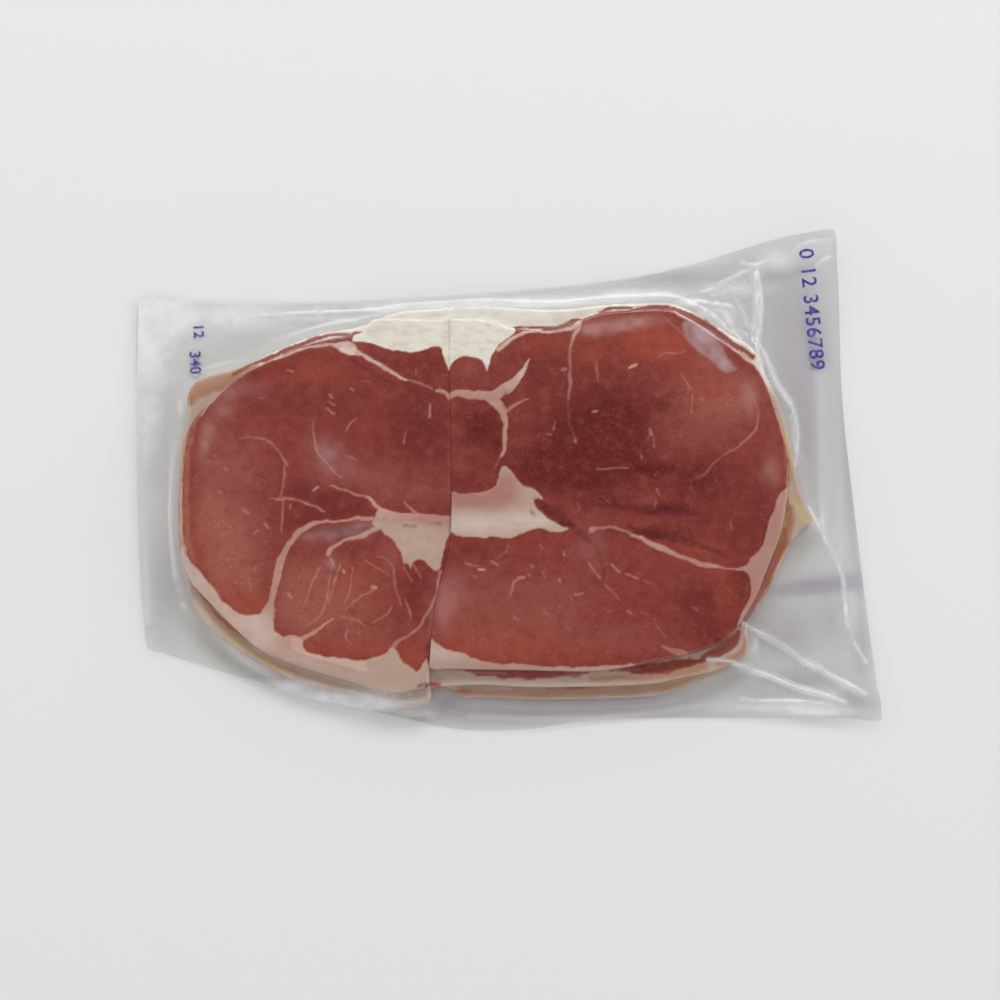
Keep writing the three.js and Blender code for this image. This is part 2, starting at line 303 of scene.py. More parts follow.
def ease(low, high, value):
    """Goes smoothly from 0 to 1 as value goes from low to high."""
    t = np.clip((value - low) / (high - low), 0, 1)
    return t * t * (3 - 2 * t)


# %% [markdown]
# Nothing on meat or on crumpled film is even, so a smooth noise is needed, with blotches of a
# known size in millimetres. It also bends what is drawn: a seam that is looked up at slightly
# shifted spots gets a frayed edge, which is cheaper than tracing every bump. Each use has its own
# fixed seed, so every run draws the same.

# %% Unevenness
LATTICE = 64                  # the noise repeats after this many blotches


def soft_noise(at, size, seed):
    """Smooth random values between 0 and 1, with blotches about `size` mm across."""
    lattice = np.random.default_rng(seed).random((LATTICE, LATTICE))
    cell = at / size
    whole = np.floor(cell).astype(int)
    part = ease(0, 1, cell - whole)

    def corner(dx, dy):
        return lattice[(whole[:, 0] + dx) % LATTICE, (whole[:, 1] + dy) % LATTICE]

    near = corner(0, 0) * (1 - part[:, 0]) + corner(1, 0) * part[:, 0]
    far = corner(0, 1) * (1 - part[:, 0]) + corner(1, 1) * part[:, 0]
    return near * (1 - part[:, 1]) + far * part[:, 1]


def wander(at, amount, size, seed):
    """The spots shifted unevenly by up to `amount` mm, which roughens whatever is drawn at them."""
    shift = np.stack([soft_noise(at, size, seed), soft_noise(at, size, seed + 1)], 1) - 0.5
    return at + 2 * amount * shift


# %% [markdown]
# The outlines are read back from the CAD nodes, so that the dressed pieces can't drift away from
# the model. A slice is widest a little above its underside, and the pouch's rim is where its two
# sides are just a skirt's thickness apart.

# %% The outlines of the slices and of the pouch
SLICE_EDGE = 1.1              # the widest ring of a slice is this far above its underside
RING_SLACK = 0.05             # and a vertex of that ring is this close to its height
SLICE_NAMES = [f"slice_{level}_{side}" for level in ("bottom", "middle", "top") for side in ("left", "right")]


def in_order(points, centre):
    """The points in their order round the centre."""
    arm = points - centre
    return points[np.argsort(np.arctan2(arm[:, 1], arm[:, 0]))]


def slice_outline(name, step):
    """A slice's widest ring as a smooth closed curve."""
    spots_3d = places(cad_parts[name])
    low = spots_3d[:, 2].min()
    widest = np.abs(spots_3d[:, 2] - low - SLICE_EDGE) < RING_SLACK
    ring = np.unique(np.round(spots_3d[widest][:, :2], 2), axis=0)
    return smooth(in_order(ring, ring.mean(0)), step, closed=True)


STACK_MIDDLE = np.array([-8, -5.26])      # the pouch's rim is put in order round this point
SKIRT_FILM = 0.8              # thickness of the CAD model's skirt
SKIRT_SLACK = 0.02            # and the rim's two sides are this close to it


def pouch_outline(step):
    """The pouch's rim as a smooth closed curve."""
    levels_at = {}
    for x, y, z in places(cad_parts["bag"]):
        levels_at.setdefault((round(x, 2), round(y, 2)), []).append(z)
    rim = [spot for spot, z in levels_at.items() if abs(max(z) - min(z) - SKIRT_FILM) < SKIRT_SLACK]
    return smooth(in_order(np.array(rim), STACK_MIDDLE), step, closed=True)


outlines = {name: slice_outline(name, 1.0) for name in SLICE_NAMES}
pouch_edge = np.clip(pouch_outline(2.0), np.array(cad_box[0])[:2] / MM, np.array(cad_box[1])[:2] / MM)
for name, outline in (*outlines.items(), ("pouch", pouch_edge)):
    print(name, len(outline), "points, from", outline.min(0).round(1), "to", outline.max(0).round(1))

# %% [markdown]
# ## Cutting a slice out of a slab
#
# A butcher's slice is a slab with a wandering edge, and it is made that way here. A coarse grid is
# extruded to a slab, its top alone is subdivided into many small squares that can carry relief and
# colour, and a prism with the slice's outline cuts it out. Lofted rings would also work, but their
# squares bunch up in the middle and grow coarse at the rim, just where the detail is.

# %% Slab and prism
COARSE_GRID = 7.0             # spacing of the squares on a slab's underside, in mm


def slab(name, corner, far_corner, low, high, spacing):
    """A closed block whose top is a fine grid of squares, and whose underside is a coarse one."""
    size = np.asarray(far_corner) - np.asarray(corner)
    middle = (np.asarray(far_corner) + np.asarray(corner)) / 2
    cells = np.ceil(size / COARSE_GRID).astype(int)
    bpy.ops.object.select_all(action="DESELECT")
    bpy.ops.mesh.primitive_grid_add(x_subdivisions=cells[0], y_subdivisions=cells[1], size=1,
                                    location=(middle[0] * MM, middle[1] * MM, low * MM))
    block = bpy.context.object
    block.name = name
    block.scale = (size[0] * MM, size[1] * MM, 1)
    bpy.ops.object.transform_apply(location=True, rotation=False, scale=True)
    bpy.ops.object.mode_set(mode="EDIT")
    bpy.ops.mesh.select_all(action="SELECT")
    bpy.ops.mesh.extrude_region_move(TRANSFORM_OT_translate={"value": (0, 0, (high - low) * MM)})
    bpy.ops.mesh.subdivide(number_cuts=round(COARSE_GRID / spacing) - 1)
    bpy.ops.mesh.select_all(action="SELECT")
    bpy.ops.mesh.normals_make_consistent(inside=False)
    bpy.ops.object.mode_set(mode="OBJECT")
    return block


def cut_out(block, outline, low, high):
    """Keeps only what lies inside the outline."""
    bpy.ops.object.select_all(action="DESELECT")
    bpy.ops.mesh.primitive_circle_add(vertices=len(outline), radius=0.1, fill_type="NGON")
    cutter = bpy.context.object
    move_to(cutter, np.column_stack([outline, np.full(len(outline), low)]))
    bpy.ops.object.mode_set(mode="EDIT")
    bpy.ops.mesh.select_all(action="SELECT")
    bpy.ops.mesh.extrude_region_move(TRANSFORM_OT_translate={"value": (0, 0, (high - low) * MM)})
    bpy.ops.mesh.select_all(action="SELECT")
    bpy.ops.mesh.normals_make_consistent(inside=False)
    bpy.ops.object.mode_set(mode="OBJECT")
    only(block)
    cut = block.modifiers.new("cut", "BOOLEAN")
    cut.operation = "INTERSECT"
    cut.solver = "MANIFOLD"
    cut.object = cutter
    bpy.ops.object.modifier_apply(modifier="cut")
    bpy.data.objects.remove(cutter)


# %% [markdown]
# ## What is drawn on the meat
#
# A ham slice shows several muscles, each with its own red, parted by seams of white fat and
# edged by the fat cap. Each seam, patch and shade is traced as a curve in the picture's pixels,
# with a width in pixels where it is a line. The camera turns each one into a curve on the slice.
# A soft edge of a third of a millimetre keeps a seam from looking cut out.

# %% Traced curves
PIXEL = 0.414                 # millimetres that a pixel covers on the object


def trace(text, height):
    """Reads "x,y x,y,width ..." as spots in mm on a level `height` mm up, and widths in mm."""
    rows = [[float(number) for number in item.split(",")] for item in text.split()]
    widths = np.array([row[2] if len(row) > 2 else 0 for row in rows]) * PIXEL
    return spots([row[:2] for row in rows], height), widths


def line_cover(at, text, height, soft=0.3):
    """How much a traced line covers each spot, from 0 to 1, with an edge `soft` mm wide."""
    line, widths = trace(text, height)
    fine = smooth(np.column_stack([line, widths]), 1.0, closed=False)
    return ease(-soft, soft, depth_in_line(at, fine[:, :2], fine[:, 2]))


def area_cover(at, text, height, soft=0.35):
    """How much a traced closed area covers each spot, from 0 to 1."""
    loop, _ = trace(text, height)
    return ease(-soft, soft, depth_in_loop(at, smooth(loop, 1.0, closed=True)))


def patch_cover(at, text, height):
    """Soft round patches: each is x, y and its radius across and down the picture, in pixels."""
    total = np.zeros(len(at))
    for item in text.split():
        x, y, across, down = (float(number) for number in item.split(","))
        centre = spots([(x, y)], height)[0]
        arm = (at - centre) / (np.array([across, down]) * PIXEL)
        total += np.exp(-np.sum(arm ** 2, axis=1))
    return np.clip(total, 0, 1)


def cover_all(at, groups, height, how, **settings):
    """The strongest cover, at each spot, of a list of traced things with their strengths."""
    total = np.zeros(len(at))
    for strength, text in groups:
        total = np.maximum(total, strength * how(at, text, height, **settings))
    return total


# %% [markdown]
# Four kinds of line are traced on each top slice. "fat" lines are the seams between the muscles
# and "speck" lines are short flecks of fat inside one. The dark lines are painted shade: the gaps,
# the shadow that the raised right slice casts on the left one beside their seam, and some darker
# streaks. "rim" lines are the browned edge of the lean. The areas are solid fat: the cap, and the
# lump where the bone was cut out. The number before each is its strength.

# %% Fat and seams of the left top slice
LEFT_LINES = {
    "fat": [
        (0.75, "200,415,2 215,398,2.5 232,380,3 248,369,3 262,363,3 280,357,3 300,349,3 320,345,3.5 "
               "333,344,4"),
        (0.8, "350,345,5 362,355,4 375,362,4 390,371,4 400,378,4 405,380,3"),
        (0.45, "405,380,2.5 411,381,2 420,384,2.5 432,389,1.5"),
        (0.75, "436,390,2 441,391,3.5 446,394,3.5 450,398,4"),
        (0.35, "240,438,1 254,438,1.5 266,440,2.4 273,445,2.2 280,452,1.6 283,458,2 288,464,4"),
        (0.35, "285,466,1.5 285,478,2.4 282,489,1.8 279,497,2.4 270,498,1"),
        (0.5, "276,499,2 290,499,2.4 300,501,1.8 308,504,1.8 318,509,2 325,512,1.4"),
        (0.4, "283,498,2 282,515,1.6 282,532,1.4"),
        (0.45, "313,424,1.4 314,435,1.6 317,449,2 321,457,1.5 330,467,1.2 342,478,1.6"),
        (0.35, "345,455,1.2 352,458,1.6 358,461,1.6"),
        (0.5, "330,485,1.4 340,489,2 350,492,2.6 366,497,2.4"),
        (0.7, "366,497,3 372,500,4 376,505,4 381,510,4"), (0.55, "404,502,1.6 409,507,2.4 416,513,3"),
        (0.7, "378,518,4 362,518,4 347,520,2.6 330,521,2.6 318,522,4 308,526,4.4 299,532,5 292,540,5 "
              "287,549,5 283,556,6"),
        (0.85, "283,556,6 280,563,8 277,575,8 275,585,7 273,595,6 271,603,6 268,614,14"),
        (0.7, "384,526,5 371,531,4 362,535,4 350,539,3 340,543,3 332,548,4 329,554,4"),
        (0.6, "300,639,4 308,636,4 316,631,3 322,627,2.4 328,622,2 334,619,1.6"),
        (0.45, "440,571,4 438,581,3 437,590,2 433,601,2.4 428,611,2.6 421,623,2 417,629,2.4 409,635,2.4 "
               "402,638,3 397,642,4 393,647,6"),
        (0.3, "393,565,1.6 395,574,3 396,588,2.4 399,598,2 402,605,1.6"),
        (0.36, "392,607,2 388,613,2 380,618,1.6 372,622,1.2"),
        (0.36, "320,568,2 315,576,2 311,583,1.8 307,594,1.4 304,602,1"),
        (0.36, "376,588,3 368,594,2.4 360,597,1.8 353,602,1.4 346,610,1.2"),
        (0.36, "340,562,1.4 336,575,2 333,590,1.4 329,604,1.4"),
        (0.36, "352,566,1.2 352,580,1.4 348,594,1.2 344,606,1"),
        (0.36, "364,560,1.2 374,566,1.4 384,572,1.2 392,577,1"),
        (0.36, "403,566,1.6 407,573,1.6 411,581,1.2"), (0.36, "413,565,2 417,571,1.6 422,578,1.2"),
        (0.36, "406,600,1.2 410,610,1.8 411,620,1.2"),
        (0.36, "338,616,1.2 350,619,1.6 358,621,2 366,626,1.2"),
        (0.36, "348,629,1.4 346,636,2 350,643,1.2"),
        (0.36, "330,549,1.2 330,573,1.4 327,600,1.6 318,618,1.4 305,627,1.2"),
        (0.3, "407,553,1.2 414,565,1.2 420,577,1"), (0.3, "377,557,1.2 386,560,1.2 394,568,1"),
        (0.85, "203,402,3 191,417,3 184,440,3.4 181,470,3.6 180,500,3.6 181,530,3.6 184,552,4"),
    ],
    "speck": [
        (0.7, "342,570,1.5 344,573,2"), (0.6, "372,587,3 376,588,3"), (0.5, "289,594,2.5 292,598,2.1"),
        (0.5, "264,523,2.2 267,527,2.2"), (0.4, "243,510,2.2 248,514,2.2"),
        (0.35, "253,533,1.8 258,531,1.5"), (0.7, "313,491,1.8 318,487,2"),
        (0.4, "287,370,2.2 292,371,2.2"), (0.3, "260,397,1.8 265,397,1.5"),
        (0.4, "327,408,1.4 334,413,2.1"), (0.35, "330,394,2.2 332,398,2.2"),
        (0.4, "328,402,1.2 334,405,1.4"), (0.5, "430,404,1.5 430,412,2 429,417,2.1"),
        (0.3, "356,418,1.5 349,424,2.2 347,430,1.5"), (0.3, "350,388,2.2 354,391,1.5"),
        (0.3, "362,381,1.5 370,382,1.5"), (0.25, "222,533,2.2 224,535,2.2"),
        (0.25, "218,491,2.2 221,493,2.2"), (0.25, "249,583,1.5 251,592,1.8"),
        (0.4, "331,559,2.2 333,565,2.2"), (0.4, "290,505,1.8 291,508,1.8"),
        (0.3, "226,468,2.2 228,470,2.2"), (0.3, "405,432,1.5 404,444,1.8"),
        (0.3, "416,370,1.5 417,375,1.8"), (0.25, "328,595,2.2 328,600,2.2"),
        (0.3, "335,577,1.5 334,582,1.5"), (0.25, "300,575,1.5 298,582,1.5"),
        (0.25, "255,565,1.5 254,573,1.5"),
    ],
    # Painted shade: the gaps, the shadow beside the right slice's raised edge, and darker streaks.
    "shade_and_streaks": [
        (0.9, "430,640,2 428.5,648,4 429,658,4 429.5,664,2"),
        (0.6, "450,494,1.4 450,515,1.6 450,536,1.4"), (0.7, "404,526,1.4 410,527,2.2 416,527,1.2"),
        (0.6, "430,525,1.2 440,524,1.8"), (0.8, "419,686,3 428,686,6 436,686,3"),
        (0.4, "323,566,3 330,572,5 338,574,3"), (0.35, "366,526,2 350,533,3 334,541,2"),
        (0.5, "352,360,2 366,368,2 380,377,2 396,385,1.4"),
    ],
    "rim": [
        (0.6, "205,404,3 197,418,4 191,434,6 187.5,455,6 186,480,6 186,510,6 187,535,6 190,552,5 "
              "194,562,3"),
        (0.45, "236,377,3 224,386,5 212,397,6 203,406,5"),
    ],
}
LEFT_AREAS = [
    (0.95, "352,340 372,318 452,312 452,368 447,366 443,355 440,348 430,348 415,352 400,351 388,350 "
           "376,346 366,342"),
    (0.8, "330,344 345,341 353,343 358,349 362,356 352,356 343,353 336,348"),
    (0.9, "380,509 392,511 402,513 415,513 428,514 438,516 452,517 452,530 448,538 445,547 442,560 "
          "438,570 434,570 428,566 424,562 418,560 413,563 411,569 408,563 404,563 402,554 398,547 "
          "393,541 387,535 381,530 374,527 372,522 375,516"),
    (0.9, "176,546 183,548 190,561 200,570 207,581 214,588 220,599 227,604 234,610 241,613 251,615 "
          "260,614 266,609 270,602 273,608 273,620 274,629 277,633 283,636 291,635 300,637 304,640 "
          "303,646 309,652 319,654 326,657 336,658 346,658 352,660 364,660 377,657 386,652 392,646 "
          "397,651 401,658 408,664 416,671 420,669 424,663 429,659 436,690 410,705 360,700 310,684 "
          "262,658 230,640 200,612 184,580"),
]
print("left:", {mark: len(lines) for mark, lines in LEFT_LINES.items()}, "and", len(LEFT_AREAS), "areas")

# %% Fat and seams of the right top slice
RIGHT_LINES = {
    "fat": [
        (0.7, "498,349,5 507,342,4 517,335.5,4 527,331.5,3 540,332,3 545,333,3 560,331,3 572,328,4 "
              "579,321,4"),
        (0.8, "447,397,6 456,393,6 465,394,8 478,395,9 488,396,9 495,395,10 502,391,12 508,387,11 "
              "515,382,8 520,375,6.5 524,369,4.5 529,360,2"),
        (0.8, "488,398,7 496,402,9 501,407,9.5 504,414,7 505.5,425,4.6 505.5,438,4 504,448,3.6 "
              "501,456,2.6"),
        (0.3, "501,456,2 498,463,1.6 494,468,1.2"), (0.5, "508,410,4 513,407,3 519,403,2.4 528,399,1.4"),
        (0.6, "578,322,7 576,330,4.4 573,338,3.2 570,346,2.6"),
        (0.4, "570,346,2.6 569,356,2.2 569.5,366,2.6 569.5,376,3.4 569.5,388,2.8 569,399,2"),
        (0.16, "569,399,2 568,412,1.6 571,428,1.6 575,441,2.8"),
        (0.22, "746,384,1.6 752,394,1.6 757,405,1.8 758,415,2"),
        (0.35, "758,415,2 758,424,2 755,431,2.6 748,438,2.2 740,446,2"),
        (0.25, "740,446,2 727,453,1.8 716,461,1.6 709,469,2 703,475,1.3 690,480,1"),
        (0.5, "591,531,6 597,528,3.4 605,528,2.4 614,528,2.6 625,531,2.6 633,535,3"),
        (0.75, "633,535,3 640,538,4 650,543,5.4 660,547.5,6.4 668,551,5 680,556.5,3"),
        (0.6, "680,556.5,3 690,559.5,4 700,563,4.6 710,565.5,4.4 718,567,3.4 727,569,2 735,569.4,2 "
              "742,569.4,3.4 748,567,6 755,561,8 760,556,9"),
        (0.45, "663,645,2 670,649,4.4 680,652,6.4 690,656,6.4 697,658.5,6 706,661,5 716,662,4"),
        (0.75, "673,311,3 684,317,3 692,321,3 700,325.5,3 710,333,3 722,341,3 735,350,3.4 745,357,4.4 "
               "756,364,4.6"),
        (0.85, "756,364,4.6 764,376,4.6 771,392,4.6 777,409,4.6 783,430,4.6 787,445,4.6 791,456,4.6"),
        (0.25, "664,318,1.6 672,324,1.6 680,330,1.6 686,338,1.6"),
        (0.3, "577,319,4 590,313.5,2.6 605,310,2.4 622,309.4,2.4 645,309.6,2.4 672,310,2.6"),
    ],
    "speck": [
        (0.75, "628,368,2.2 632,366.6,3.3 636,365,2.2"), (0.45, "593,412,3 596,412,3"),
        (0.25, "597,361,2.2 597,374,2.2 598,382,1.5"), (0.35, "562,370,3 565,369,3"),
        (0.25, "556,422,2 554,429,1.8"), (0.3, "546,434,2.2 551,434,2.2"),
        (0.4, "574,439,1.8 575,442,2.2"), (0.4, "651,428,2.2 652,434,3"),
        (0.2, "654,438,2.2 655,448,2.2"),
        (0.42, "597,468,1.4 604,469,2.2 612,468.4,2 620,468.4,1.8 628,468,1"),
        (0.3, "657,488,2.2 659,494,2.2"), (0.35, "656,500,1.5 654,508,1"),
        (0.3, "641,456,2.2 643,459,2.2"), (0.3, "658,358,1.2 664,354,2 676,354,2 684,351,1.8"),
        (0.3, "682,374,1.5 688,383,2.2 692,389,1.5"), (0.3, "700,398,2.2 704,400,2.2"),
        (0.25, "692,395,2.2 692,412,2.2"), (0.42, "466,562,1.4 472,566,1.8 478,567,1.5"),
        (0.7, "479,570,2.2 482,570,2.5 485,570,2.2"), (0.45, "490,561,2 495,563,2.2 498,565,1.5"),
        (0.3, "474,575,1.5 476,577,2.2"), (0.25, "499,557,1.2 505,551,1.5"),
        (0.3, "508,545,1.5 506,552,1.5"), (0.4, "510,596,1.8 512,588,1.8 513,582,1.8 518,578,2.2"),
        (0.45, "518,577,3 523,576,3"), (0.3, "531,565,3 533,566,3"), (0.3, "541,545,2.2 543,549,2.2"),
        (0.5, "560,579,2.2 560.4,582,2.2"), (0.5, "564,551,1.8 565,555,2.2"),
        (0.35, "576,594,3 583,593,3"), (0.3, "571,596,1.8 573,600,1.5"),
        (0.35, "543,572,1.8 545,578,1.8"), (0.3, "527,573,2.2 530,575,2.2"),
        (0.4, "589,562,1.5 592,566,2.2 596,572,1.5 600,578,1.8"),
        (0.35, "605,585,1.5 610,590,1.8 615,595,2.1 619,600,1.5"),
        (0.5, "612,565,1.5 616,569,2.1 620,572,1.5"),
        (0.5, "626,574,1.5 629,575,2.2 633,577,1.7 638,579,1.2"), (0.25, "644,580,1.5 648,583,1.5"),
        (0.3, "628,611,3 631,613,3"), (0.3, "653,618,1.2 658,626,1.5 662,632,1.5 666,637,1.2"),
        (0.25, "545,613,3 548,614,3"), (0.25, "514,617,2.2 518,619,2.2"),
        (0.25, "604,608,1.5 610,612,1.8"), (0.25, "606,501,2.2 610,503,2.2"),
        (0.25, "577,503,1.8 579,509,1.8"), (0.2, "565,626,1.8 571,630,1.5"),
        (0.2, "640,612,1.5 648,615,1.5"), (0.25, "693,608,2.2 697,611,1.5"),
        (0.25, "730,524,2.2 732,528,2.2"),
    ],
    # Painted shade in the gaps, and darker streaks and wedges.
    "shade_and_streaks": [
        (0.75, "534,499,2 542,505,7 553,512,11 564,520,10 575,529,7 586,539,5 597,547,3"),
        (0.4, "596,545,5 601,560,4 604,575,3"), (0.6, "531,511,2 534,514,3"),
        (0.5, "505,393,3 506,399,5 505,405,3"),
        (0.55, "628,527,3 655,534,7 685,541,8 712,550,5 728,557,3"),
        (0.55, "608,503,3 640,510,7 672,510,7 705,516,4"), (0.55, "716,640,4 724,645,9 731,644,6"),
        (0.35, "578,396,4 588,410,6 590,425,4"),
    ],
    "rim": [
        (0.5, "784,436,3 787,450,5 788.5,470,6 788,490,6 786,505,4"),
    ],
}
RIGHT_AREAS = [
    (0.95, "446,312 506,314 516,329 511,336 504,341 498,346 494,352 490,360 486.5,371 483.5,366 "
           "480.5,361 476,358 468,357 461,358 455,361 450,368 446,372"),
    (0.95, "446,493.5 462,493.5 475,493 487,491 495,486.5 498,480 500,473 503,466 508,467 512,473 "
           "517,481 524,486 532,489 538,493 543,498.5 537,499 533.5,502 536,508 541,512.5 547,517 "
           "553,520.5 559,524 563,526.5 569,528.5 563,531.5 556,532.5 549,531.5 543,529.5 536,528.5 "
           "528,531 520,534.5 512,538 500,537.5 488,537 470,537.5 459,536 451,532 446,528"),
    (0.9, "784,489 778,495.5 775,505 772,515 768.5,525 765,537 761,548 757,555 752,560 745,566 742,570 "
          "747,573 750.5,579 751,590 748.5,600 744,609 740,618 738,626 748,628 770,590 790,530 796,480"),
    (0.9, "428,640 438,643 445,648 455,651 462,653 470,657 478,660 490,662 505,663.6 520,664.4 545,666 "
          "565,667 585,667 600,665.6 618,664.6 634,664 640,672 600,676 560,678 520,676 480,674 426,678"),
]
print("right:", {mark: len(lines) for mark, lines in RIGHT_LINES.items()}, "and", len(RIGHT_AREAS), "areas")

# %% [markdown]
# Each muscle worked differently in life, so each has its own red. "deep" is darker, "pale" is
# greyer and lighter, and "warm" is more orange. On the fat, "milk" is whiter and "blush" is
# pinker. The lilac and the grey glare are painted reflections: the film's glare, laid into the
# meat's colour. They are soft round patches, because one muscle shades into the next. Only the
# painted grey glare on the right slice has an edge of its own, so it is traced as an area.

# %% Tones of the meat
LEFT_TONES = {
    "milk": [
        (0.9, "238,622,34,12 262,640,16,14"), (0.7, "204,578,12,20 222,604,12,14"),
        (0.3, "418,540,30,14 300,650,30,10"),
    ],
    "deep": [
        (0.2, "290,392,55,26 340,395,40,30"), (0.55, "420,430,36,60"),
        (0.5, "322,500,34,14 350,503,24,10 300,488,14,10"), (0.5, "300,520,20,8 345,512,30,8"),
        (0.5, "415,588,14,26 348,550,16,8 445,560,8,22"), (0.35, "400,362,40,9 432,372,14,18"),
        (0.6, "345,530,45,3"),
    ],
    "pale": [
        (0.6, "228,470,34,40"), (0.9, "228,530,30,40 236,580,24,34 210,520,12,40"),
        (0.35, "370,475,60,16 410,492,40,10"), (0.85, "335,600,40,34 300,600,24,34"),
        (0.45, "350,635,50,16 390,555,12,20"),
    ],
    "warm": [
        (0.7, "232,596,20,22 200,545,10,18 255,605,14,10"), (0.6, "360,650,50,9 415,660,14,14"),
        (0.4, "315,372,40,14 345,585,34,26 300,640,30,9"),
    ],
    "blush": [
        (0.8, "415,516,50,6 440,520,20,8"), (0.6, "300,645,20,8"), (0.5, "270,610,8,20 285,550,14,20"),
    ],
    # Painted reflection: the film's lilac glare on the meat.
    "veil": [
        (0.2, "222,408,11,11 209,430,8,14 204,446,5,14 232,392,9,8"),
        (0.12, "320,448,15,12 340,470,20,10"), (0.16, "437,620,10,26 240,388,26,8"),
    ],
    # Painted reflection: the film's grey glare on the meat.
    "grey_glare": [
        (0.16, "318,536,20,6 345,532,20,6 366,526,12,5"), (0.12, "330,566,7,8 330,455,16,12"),
    ],
}
RIGHT_TONES = {
    "milk": [
        (0.9, "480,524,40,10 535,520,24,8"), (0.6, "440,652,20,8"),
    ],
    "deep": [
        (0.5, "650,506,60,4 705,522,40,4 640,534,50,4"),
        (0.85, "575,440,50,46 620,430,40,50 560,470,60,20 478,428,20,24"), (0.75, "653,405,22,12"),
        (1.0, "640,470,60,12 668,508,24,8"), (0.75, "655,533,44,7 600,500,30,12 700,480,40,30"),
        (0.8, "492,425,9,30 499,445,5,22"), (0.5, "470,480,28,10 475,375,22,14"),
        (0.5, "712,630,22,20 700,600,30,18 740,580,14,22"),
        (0.35, "470,552,36,12 540,380,40,30 580,370,30,30"), (0.4, "760,500,14,40 735,530,20,26"),
    ],
    "pale": [
        (0.8, "722,400,40,30"), (0.35, "700,432,40,20"),
        (0.4, "470,610,40,40 520,620,50,34 550,605,34,30"),
        (0.35, "600,640,60,16 480,345,20,16 470,372,18,12"), (0.3, "774,452,9,34 772,475,8,10"),
        (0.35, "600,322,26,9 640,320,30,8"),
    ],
    "warm": [
        (0.9, "650,341,30,16 668,345,24,14"), (0.6, "718,392,26,12 700,365,30,12"),
        (0.5, "520,650,60,12 480,640,40,14"), (0.5, "590,352,20,14 545,343,26,8"),
        (0.35, "725,590,12,30 700,548,24,8"), (0.3, "470,366,14,8"),
    ],
    "blush": [
        (1.0, "480,500,34,12 505,485,14,16 460,498,14,8"), (0.8, "772,520,18,60 750,590,16,40"),
        (0.6, "560,664,120,5"), (0.5, "560,330,30,4"),
    ],
    # Painted reflection: the film's lilac glare on the meat.
    "veil": [
        (0.36, "612,326,24,6 590,330,16,6 640,321,20,5"), (0.2, "748,396,9,16"),
        (0.2, "452,592,12,16 444,612,9,16"), (0.15, "770,470,9,14"), (0.12, "590,545,14,22"),
    ],
    # Painted reflection: the film's grey glare on the meat.
    "grey_glare": [
        (0.12, "712,345,14,20"),
    ],
}
# Painted reflection: the film's grey glare on the right slice, traced as an area.
GREY_GLARE_AREA = [
    (0.38, "683,323 692,321.5 706,327.5 716,337.5 724,351 732,363 737,369 728,372.5 720,368 710,359 "
           "696,349 687,338"),
    (0.5, "691,327 699,326 709,334 718,346 716,352 708,350 698,340"),
]
print("tones:", sorted(LEFT_TONES))

# %% [markdown]
# ## The slices
#
# Every slice is cut from its slab, and its top is then shaped: the edge is rounded off over the
# last millimetre, and the film has pressed a low relief into the meat. Two half slices touch in
# the real pack, so each cut edge is brought almost up to its neighbour's.

# %% Shape of one slice
TOP_GRID = 0.55               # spacing of the top slices' squares, fine enough for a seam
LEDGE_GRID = 0.9              # spacing on the slices of which only a ledge shows
UNDER_CAD = 0.2               # the dressed tops lie this much under the CAD's, to leave room for film
BESIDE = 2.5                  # points of the neighbour this close to a point are beside it
WIDEST_GAP = 1.2              # but a gap wider than this is a real notch, and stays
CLOSER = 0.5                  # share of the CAD model's gap that each of two half slices closes
TOPS = {"left": 14.4, "right": 15.0}      # how high the top slices' tops are, before their relief


def meat_relief(x, y):
    """The unevenness that the film presses into the top, as in the CAD model."""
    return 0.3 * np.sin(x / 15 + 0.6) * np.cos(y / 19) + 0.15 * np.sin((x - 2 * y) / 23)


def neighbour(name):
    """The outline of the half slice beside this one."""
    return outlines[name.replace("left", "?").replace("right", "left").replace("?", "right")]


def meeting_outline(name):
    """The slice's outline, with its cut edge brought almost up to its neighbour's."""
    outline = outlines[name].copy()
    other = neighbour(name)
    for point in outline:
        near = other[np.hypot(*(other - point).T) < BESIDE]
        if len(near) > 1:
            gap = np.interp(point[1], *near[np.argsort(near[:, 1])].T[::-1]) - point[0]
            point[0] += CLOSER * gap * (abs(gap) < WIDEST_GAP)
    return outline


def cut_slice(name, spacing, top, relief):
    """One slice with a rounded top edge; returns it, and each vertex's x, y and depth in mm."""
    outline = meeting_outline(name)
    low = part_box(name)[0].z / MM
    corner, far_corner = outline.min(0) - 1, outline.max(0) + 1
    piece = slab(name + "_dressed", corner, far_corner, low, top, spacing)
    cut_out(piece, outline, low - 2, top + 2)
    spots_3d = places(piece)
    at = spots_3d[:, :2]
    depth = depth_in_loop(at, outline, reach=4.0)
    is_top = spots_3d[:, 2] > (low + top) / 2
    from_edge = np.clip(SLICE_EDGE - depth, 0, SLICE_EDGE)
    rounded = SLICE_EDGE - np.sqrt(np.maximum(SLICE_EDGE ** 2 - from_edge ** 2, 0))
    # The edge stays nearly square where the other half slice is pressed against it.
    rounded *= 1 - 0.9 * ease(-3, -0.8, depth_in_loop(at, neighbour(name)[::3], reach=4.0))
    height = top + relief * meat_relief(*at.T) * ease(0, 6, depth) - rounded
    spots_3d[is_top, 2] = height[is_top]
    move_to(piece, spots_3d)
    return piece, at, depth


# %% [markdown]
# Seams of fat lie a little proud, because the lean around them dried and shrank more. The traced
# covers are kept on the vertices as plain numbers, and the material mixes its colours by them. An
# image would do the same, but it would need a picture file beside the script.

